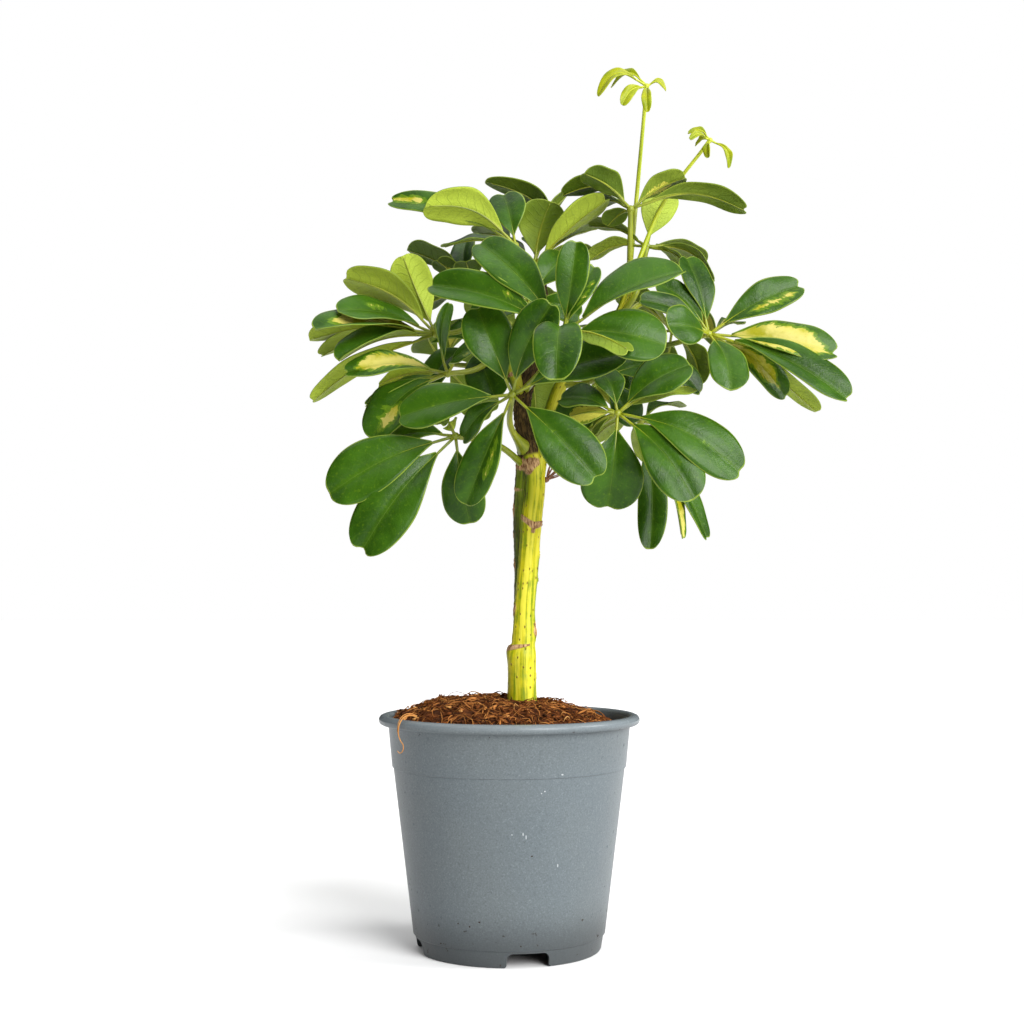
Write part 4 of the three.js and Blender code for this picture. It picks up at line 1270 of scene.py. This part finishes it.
def notchCutter(bm, index):
    settings = notchSettings
    half = settings["width"] / 2
    corner = settings["corner"]
    flare = settings["flare"]
    outline = [(-half - flare, -1), (half + flare, -1), (half, flare)]
    for sign in (1, -1):
        turns = range(7) if sign > 0 else range(6, -1, -1)
        for i in turns:
            angle = math.pi / 2 * i / 6
            x = sign * (half - corner + corner * math.cos(angle))
            outline.append((x, settings["height"] - corner + corner * math.sin(angle)))
    outline.append((-half, flare))
    near = potSettings["footInnerRadius"] - settings["overcut"]
    face = bm.faces.new([bm.verts.new(Vector((near, x, z)) * mm) for x, z in outline])
    ring = potSettings["footTopRadius"] - potSettings["footInnerRadius"]
    made = bmesh.ops.extrude_face_region(bm, geom=[face])["geom"]
    moved = [item for item in made if isinstance(item, bmesh.types.BMVert)]
    depth = (ring + 2 * settings["overcut"]) * mm
    bmesh.ops.translate(bm, verts=moved, vec=(depth, 0, 0))
    angle = math.radians(settings["firstAngle"] + 360 * index / settings["count"])
    verts = list({*face.verts, *moved})
    bmesh.ops.rotate(bm, verts=verts, cent=(0, 0, 0), matrix=Matrix.Rotation(angle, 3, "Z"))


def drainCutter(bm, index):
    settings = drainSettings
    angle = (index + 0.5) * 2 * math.pi / settings["count"]
    centre = Vector((math.cos(angle), math.sin(angle), 0)) * settings["circle"]
    centre.z = potSettings["footHeight"] + potSettings["floorThickness"] / 2
    radius = settings["radius"] * mm
    bmesh.ops.create_cone(
        bm, cap_ends=True, segments=32, radius1=radius, radius2=radius,
        depth=settings["depth"] * mm, matrix=Matrix.Translation(centre * mm),
    )


def cutFrom(piece, cutter):
    # takes the cutter's shape out of the piece for good, and removes the cutter
    cut = piece.modifiers.new("cut", "BOOLEAN")
    cut.operation = "DIFFERENCE"
    cut.solver = "EXACT"
    cut.object = cutter
    evaluated = piece.evaluated_get(bpy.context.evaluated_depsgraph_get())
    mesh = bpy.data.meshes.new_from_object(evaluated)
    piece.modifiers.clear()
    piece.data = mesh
    bpy.data.objects.remove(cutter)


def makePot():
    bm = bmesh.new()
    spunProfile(bm, potProfile(potSettings), potSettings["steps"])
    bmesh.ops.translate(bm, verts=bm.verts, vec=potAxis)
    piece = finishPiece("pot_shell", bm, [makePotMaterial(potLook)], ["pot"])
    cutters = bmesh.new()
    for index in range(notchSettings["count"]):
        notchCutter(cutters, index)
    for index in range(drainSettings["count"]):
        drainCutter(cutters, index)
    bmesh.ops.recalc_face_normals(cutters, faces=cutters.faces)
    bmesh.ops.translate(cutters, verts=cutters.verts, vec=potAxis)
    cutFrom(piece, addObject("cutters", meshFrom("cutters", cutters)))
    piece.data.set_sharp_from_angle(angle=math.radians(potSettings["sharpFrom"]))


# Soil

soilSettings = {
    "edgeHeight": 109.5, "crownHeight": 122.5, "slope": 3.4, "clearance": 0.3, "cells": 96,
    "fibres": 1500, "chips": 620, "margin": 1.6, "stemX": 6.6, "stemGap": 8.5,
}
soilLook = {
    "dark": (42, 20, 8), "brown": (106, 58, 24), "tan": (172, 112, 56), "straw": (206, 156, 92),
}
# A loose strand that hangs over the rim: radius from the pot's axis, azimuth in degrees, height.
looseStrand = [
    (56, -141, 116.5), (61, -140.2, 118), (64.6, -140.6, 117.2), (66.4, -141.6, 114),
    (66.2, -142.6, 109.5), (65.4, -142.2, 106.2), (65, -140.6, 104), (65.6, -140.2, 101.4),
    (66.2, -141.6, 100.2), (66.4, -143, 101.2),
]
# Its two fibres: how far each is turned, its width and lift, and how many points it follows.
strandSettings = {
    "fibres": [(0, 0.42, 0, 10), (0.6, 0.26, 0.8, 7)], "steps": 40, "sides": 5, "thinning": 0.55,
    "shade": 0.86,
}


def soilHeight(x, y):
    settings = soilSettings
    share = min(1, math.hypot(x, y) / potSettings["bandRadius"])
    rise = settings["crownHeight"] - settings["edgeHeight"]
    mound = settings["edgeHeight"] + rise * (1 - share ** 3)
    coarse = noise.noise(Vector((x, y, 3)) * 0.09) * 1.6
    coarse += noise.noise(Vector((x, y, 7)) * 0.3) * 1.3
    return mound - settings["slope"] * x / potSettings["bandRadius"] + coarse


def makeSoilMaterial(name, look, grained):
    material = newMaterial(name, {"Roughness": 0.8, "Specular IOR Level": 0.1})
    if grained:
        streaks = noiseAt(stretched(layerVector("grain"), (3000, 3000, 160)), 1, 3)
        own = splitVector(layerVector("look"))[0]
        shade = timesPlus(streaks, 0.5, minus(own, 0.25))
    else:
        place = objectPlace()
        streaks = noiseAt(place, 900, 4, 0.7)
        shade = timesPlus(noiseAt(place, 160, 3), 0.7, timesPlus(streaks, 0.6, -0.45))
    colour = mixColours(between(shade, 0.05, 0.45), look["dark"], look["brown"])
    colour = laid(colour, look["tan"], between(shade, 0.45, 0.75))
    feed("Base Color", laid(colour, look["straw"], between(shade, 0.78, 0.98)))
    addBump(streaks, 0.0003, 0.8)
    return material


def makeSoilBed(material):
    bm = bmesh.new()
    settings = soilSettings
    floor = potSettings["footHeight"] + potSettings["floorThickness"] + settings["clearance"]

    def inside(name):
        return potSettings[name] - potSettings["wall"] - settings["clearance"]

    topRadius = inside("underRimRadius") - 0.6

    def place(vert, column, row):
        x, y = vert.co.x, vert.co.y
        disc = Vector((x * math.sqrt(1 - y * y / 2), y * math.sqrt(1 - x * x / 2))) * topRadius
        vert.co = Vector((disc.x, disc.y, soilHeight(disc.x, disc.y))) * mm + potAxis

    placeGrid(bm, settings["cells"], settings["cells"], place)
    rim = [e for e in bm.edges if e.is_boundary]
    atBand = (inside("bandRadius") - 0.3, potSettings["bandHeight"])
    atFloor = (inside("wallFootRadius") - 0.6, floor + 0.6)
    for radius, height in (atBand, atFloor):
        made = bmesh.ops.extrude_edge_only(bm, edges=rim)["geom"]
        rim = [item for item in made if isinstance(item, bmesh.types.BMEdge)]
        rim = [e for e in rim if e.is_boundary]
        for vert in {vert for e in rim for vert in e.verts}:
            out = vert.co - potAxis
            out.z = 0
            vert.co = potAxis + out.normalized() * radius * mm + Vector((0, 0, height * mm))
    bmesh.ops.holes_fill(bm, edges=rim, sides=0)
    bmesh.ops.recalc_face_normals(bm, faces=bm.faces)
    finishPiece("soil_bed", bm, [material], ["soil"])


def onSoil(dice):
    # a random spot on the soil, clear of the stem
    settings = soilSettings
    reach = potSettings["underRimRadius"] - potSettings["wall"] - settings["margin"]
    while True:
        x, y = dice.uniform(-reach, reach), dice.uniform(-reach, reach)
        fromStem = math.hypot(x - settings["stemX"], y)
        if math.hypot(x, y) < reach and fromStem > settings["stemGap"]:
            return x, y


def strandInto(bm):
    settings = strandSettings
    steps = settings["steps"]
    for turned, width, lift, count in settings["fibres"]:
        hung = []
        for radius, azimuth, height in looseStrand[:count]:
            angle = math.radians(azimuth - turned)
            out = Vector((math.cos(angle) * radius, math.sin(angle) * radius, height + lift))
            hung.append(potAxis + out * mm)
        points = curveThrough(hung, steps)
        radii = [width * (1 - settings["thinning"] * i / steps) * mm for i in range(steps + 1)]
        tubeInto(bm, points, radii, settings["sides"], look=Vector((settings["shade"], 0, 0)))


def makeFibres(material):
    bm = newMesh("grain", "look")
    dice = random.Random("fibres")
    limit = potSettings["underRimRadius"] - potSettings["wall"] - 1.0
    steps = 5
    for _ in range(soilSettings["fibres"]):
        x, y = onSoil(dice)
        turn = dice.uniform(0, 2 * math.pi)
        length = dice.choice((5, 7, 9, 12, 16)) * dice.uniform(0.7, 1.2)
        curl = dice.uniform(-1.3, 1.3)
        lift = dice.uniform(0.1, 1.4) * (1 if dice.random() < 0.85 else 2.2)
        tilt = dice.uniform(-0.25, 0.35)
        points = []
        for step in range(steps + 1):
            share = step / steps - 0.5
            heading = turn + curl * share
            px = x + math.cos(heading) * length * share
            py = y + math.sin(heading) * length * share
            far = math.hypot(px, py)
            if far > limit:
                px, py = px * limit / far, py * limit / far
            arch = lift * (1 - 3.2 * share * share)
            height = soilHeight(px, py) + arch + tilt * length * share * 0.5
            points.append(Vector((px, py, height)) * mm + potAxis)
        radius = dice.uniform(0.1, 0.34) * mm
        radii = [radius * (1 - 0.5 * abs(2 * step / steps - 1) ** 2) for step in range(steps + 1)]
        shift = randomShift(dice)
        shade = Vector((dice.betavariate(2.2, 2.4), 0, 0))
        tubeInto(bm, points, radii, 3, shift=shift, look=shade)
    strandInto(bm)
    finishPiece("soil_fibres", bm, [material], ["soil"])


def makeChips(material):
    bm = newMesh("grain", "look")
    layers = bm.verts.layers.float_vector
    dice = random.Random("chips")
    for _ in range(soilSettings["chips"]):
        x, y = onSoil(dice)
        made = bmesh.ops.create_icosphere(bm, subdivisions=1, radius=1)["verts"]
        size = Vector((dice.uniform(1.0, 3.6), dice.uniform(0.5, 1.3), dice.uniform(0.3, 0.9)))
        turn = Matrix.Rotation(dice.uniform(0, 2 * math.pi), 3, "Z")
        turn = turn @ Matrix.Rotation(dice.uniform(-0.5, 0.5), 3, "Y")
        shade = Vector((dice.betavariate(1.8, 2.8), 0, 0))
        shift = randomShift(dice)
        centre = Vector((x, y, soilHeight(x, y) + dice.uniform(0, 0.9)))
        for vert in made:
            rough = 1 + 0.3 * noise.noise(vert.co * 1.7 + shift * 50)
            shaped = vert.co * size * rough
            vert[layers["grain"]] = Vector((shaped.y, shaped.z, shaped.x)) * mm + shift
            vert[layers["look"]] = shade
            vert.co = (centre + turn @ shaped) * mm + potAxis
    finishPiece("soil_chips", bm, [material], ["soil"])


def makeSoil():
    makeSoilBed(makeSoilMaterial("soilBed", soilLook, False))
    grained = makeSoilMaterial("coirFibre", soilLook, True)
    makeFibres(grained)
    makeChips(grained)


# Build

makeCamera(cameraSettings)
for lightName, lightValues in lightSettings.items():
    makeLight(lightName, lightValues)
makeSky(skySettings)
makeFloor(floorSettings)
print("camera, lights and floor are set")

leafMaterials = {
    "top": makeTopMaterial(topSettings),
    "under": makeUnderMaterial(underSettings),
    "young": makeYoungMaterial(youngSettings),
    "stalk": makeStalkMaterial("leafStalk", stalkSettings),
    "youngStalk": makeStalkMaterial("youngStalk", youngStalkSettings),
}
for leafName, leafValues in leaves.items():
    makeLeaf(leafName, leafValues, leafMaterials)
print("leaves are made:", len(leaves))

makeStem()
print("stem is made")
makePot()
print("pot is made")
makeSoil()
print("soil is made")

bpy.context.scene.view_settings.view_transform = "Standard"
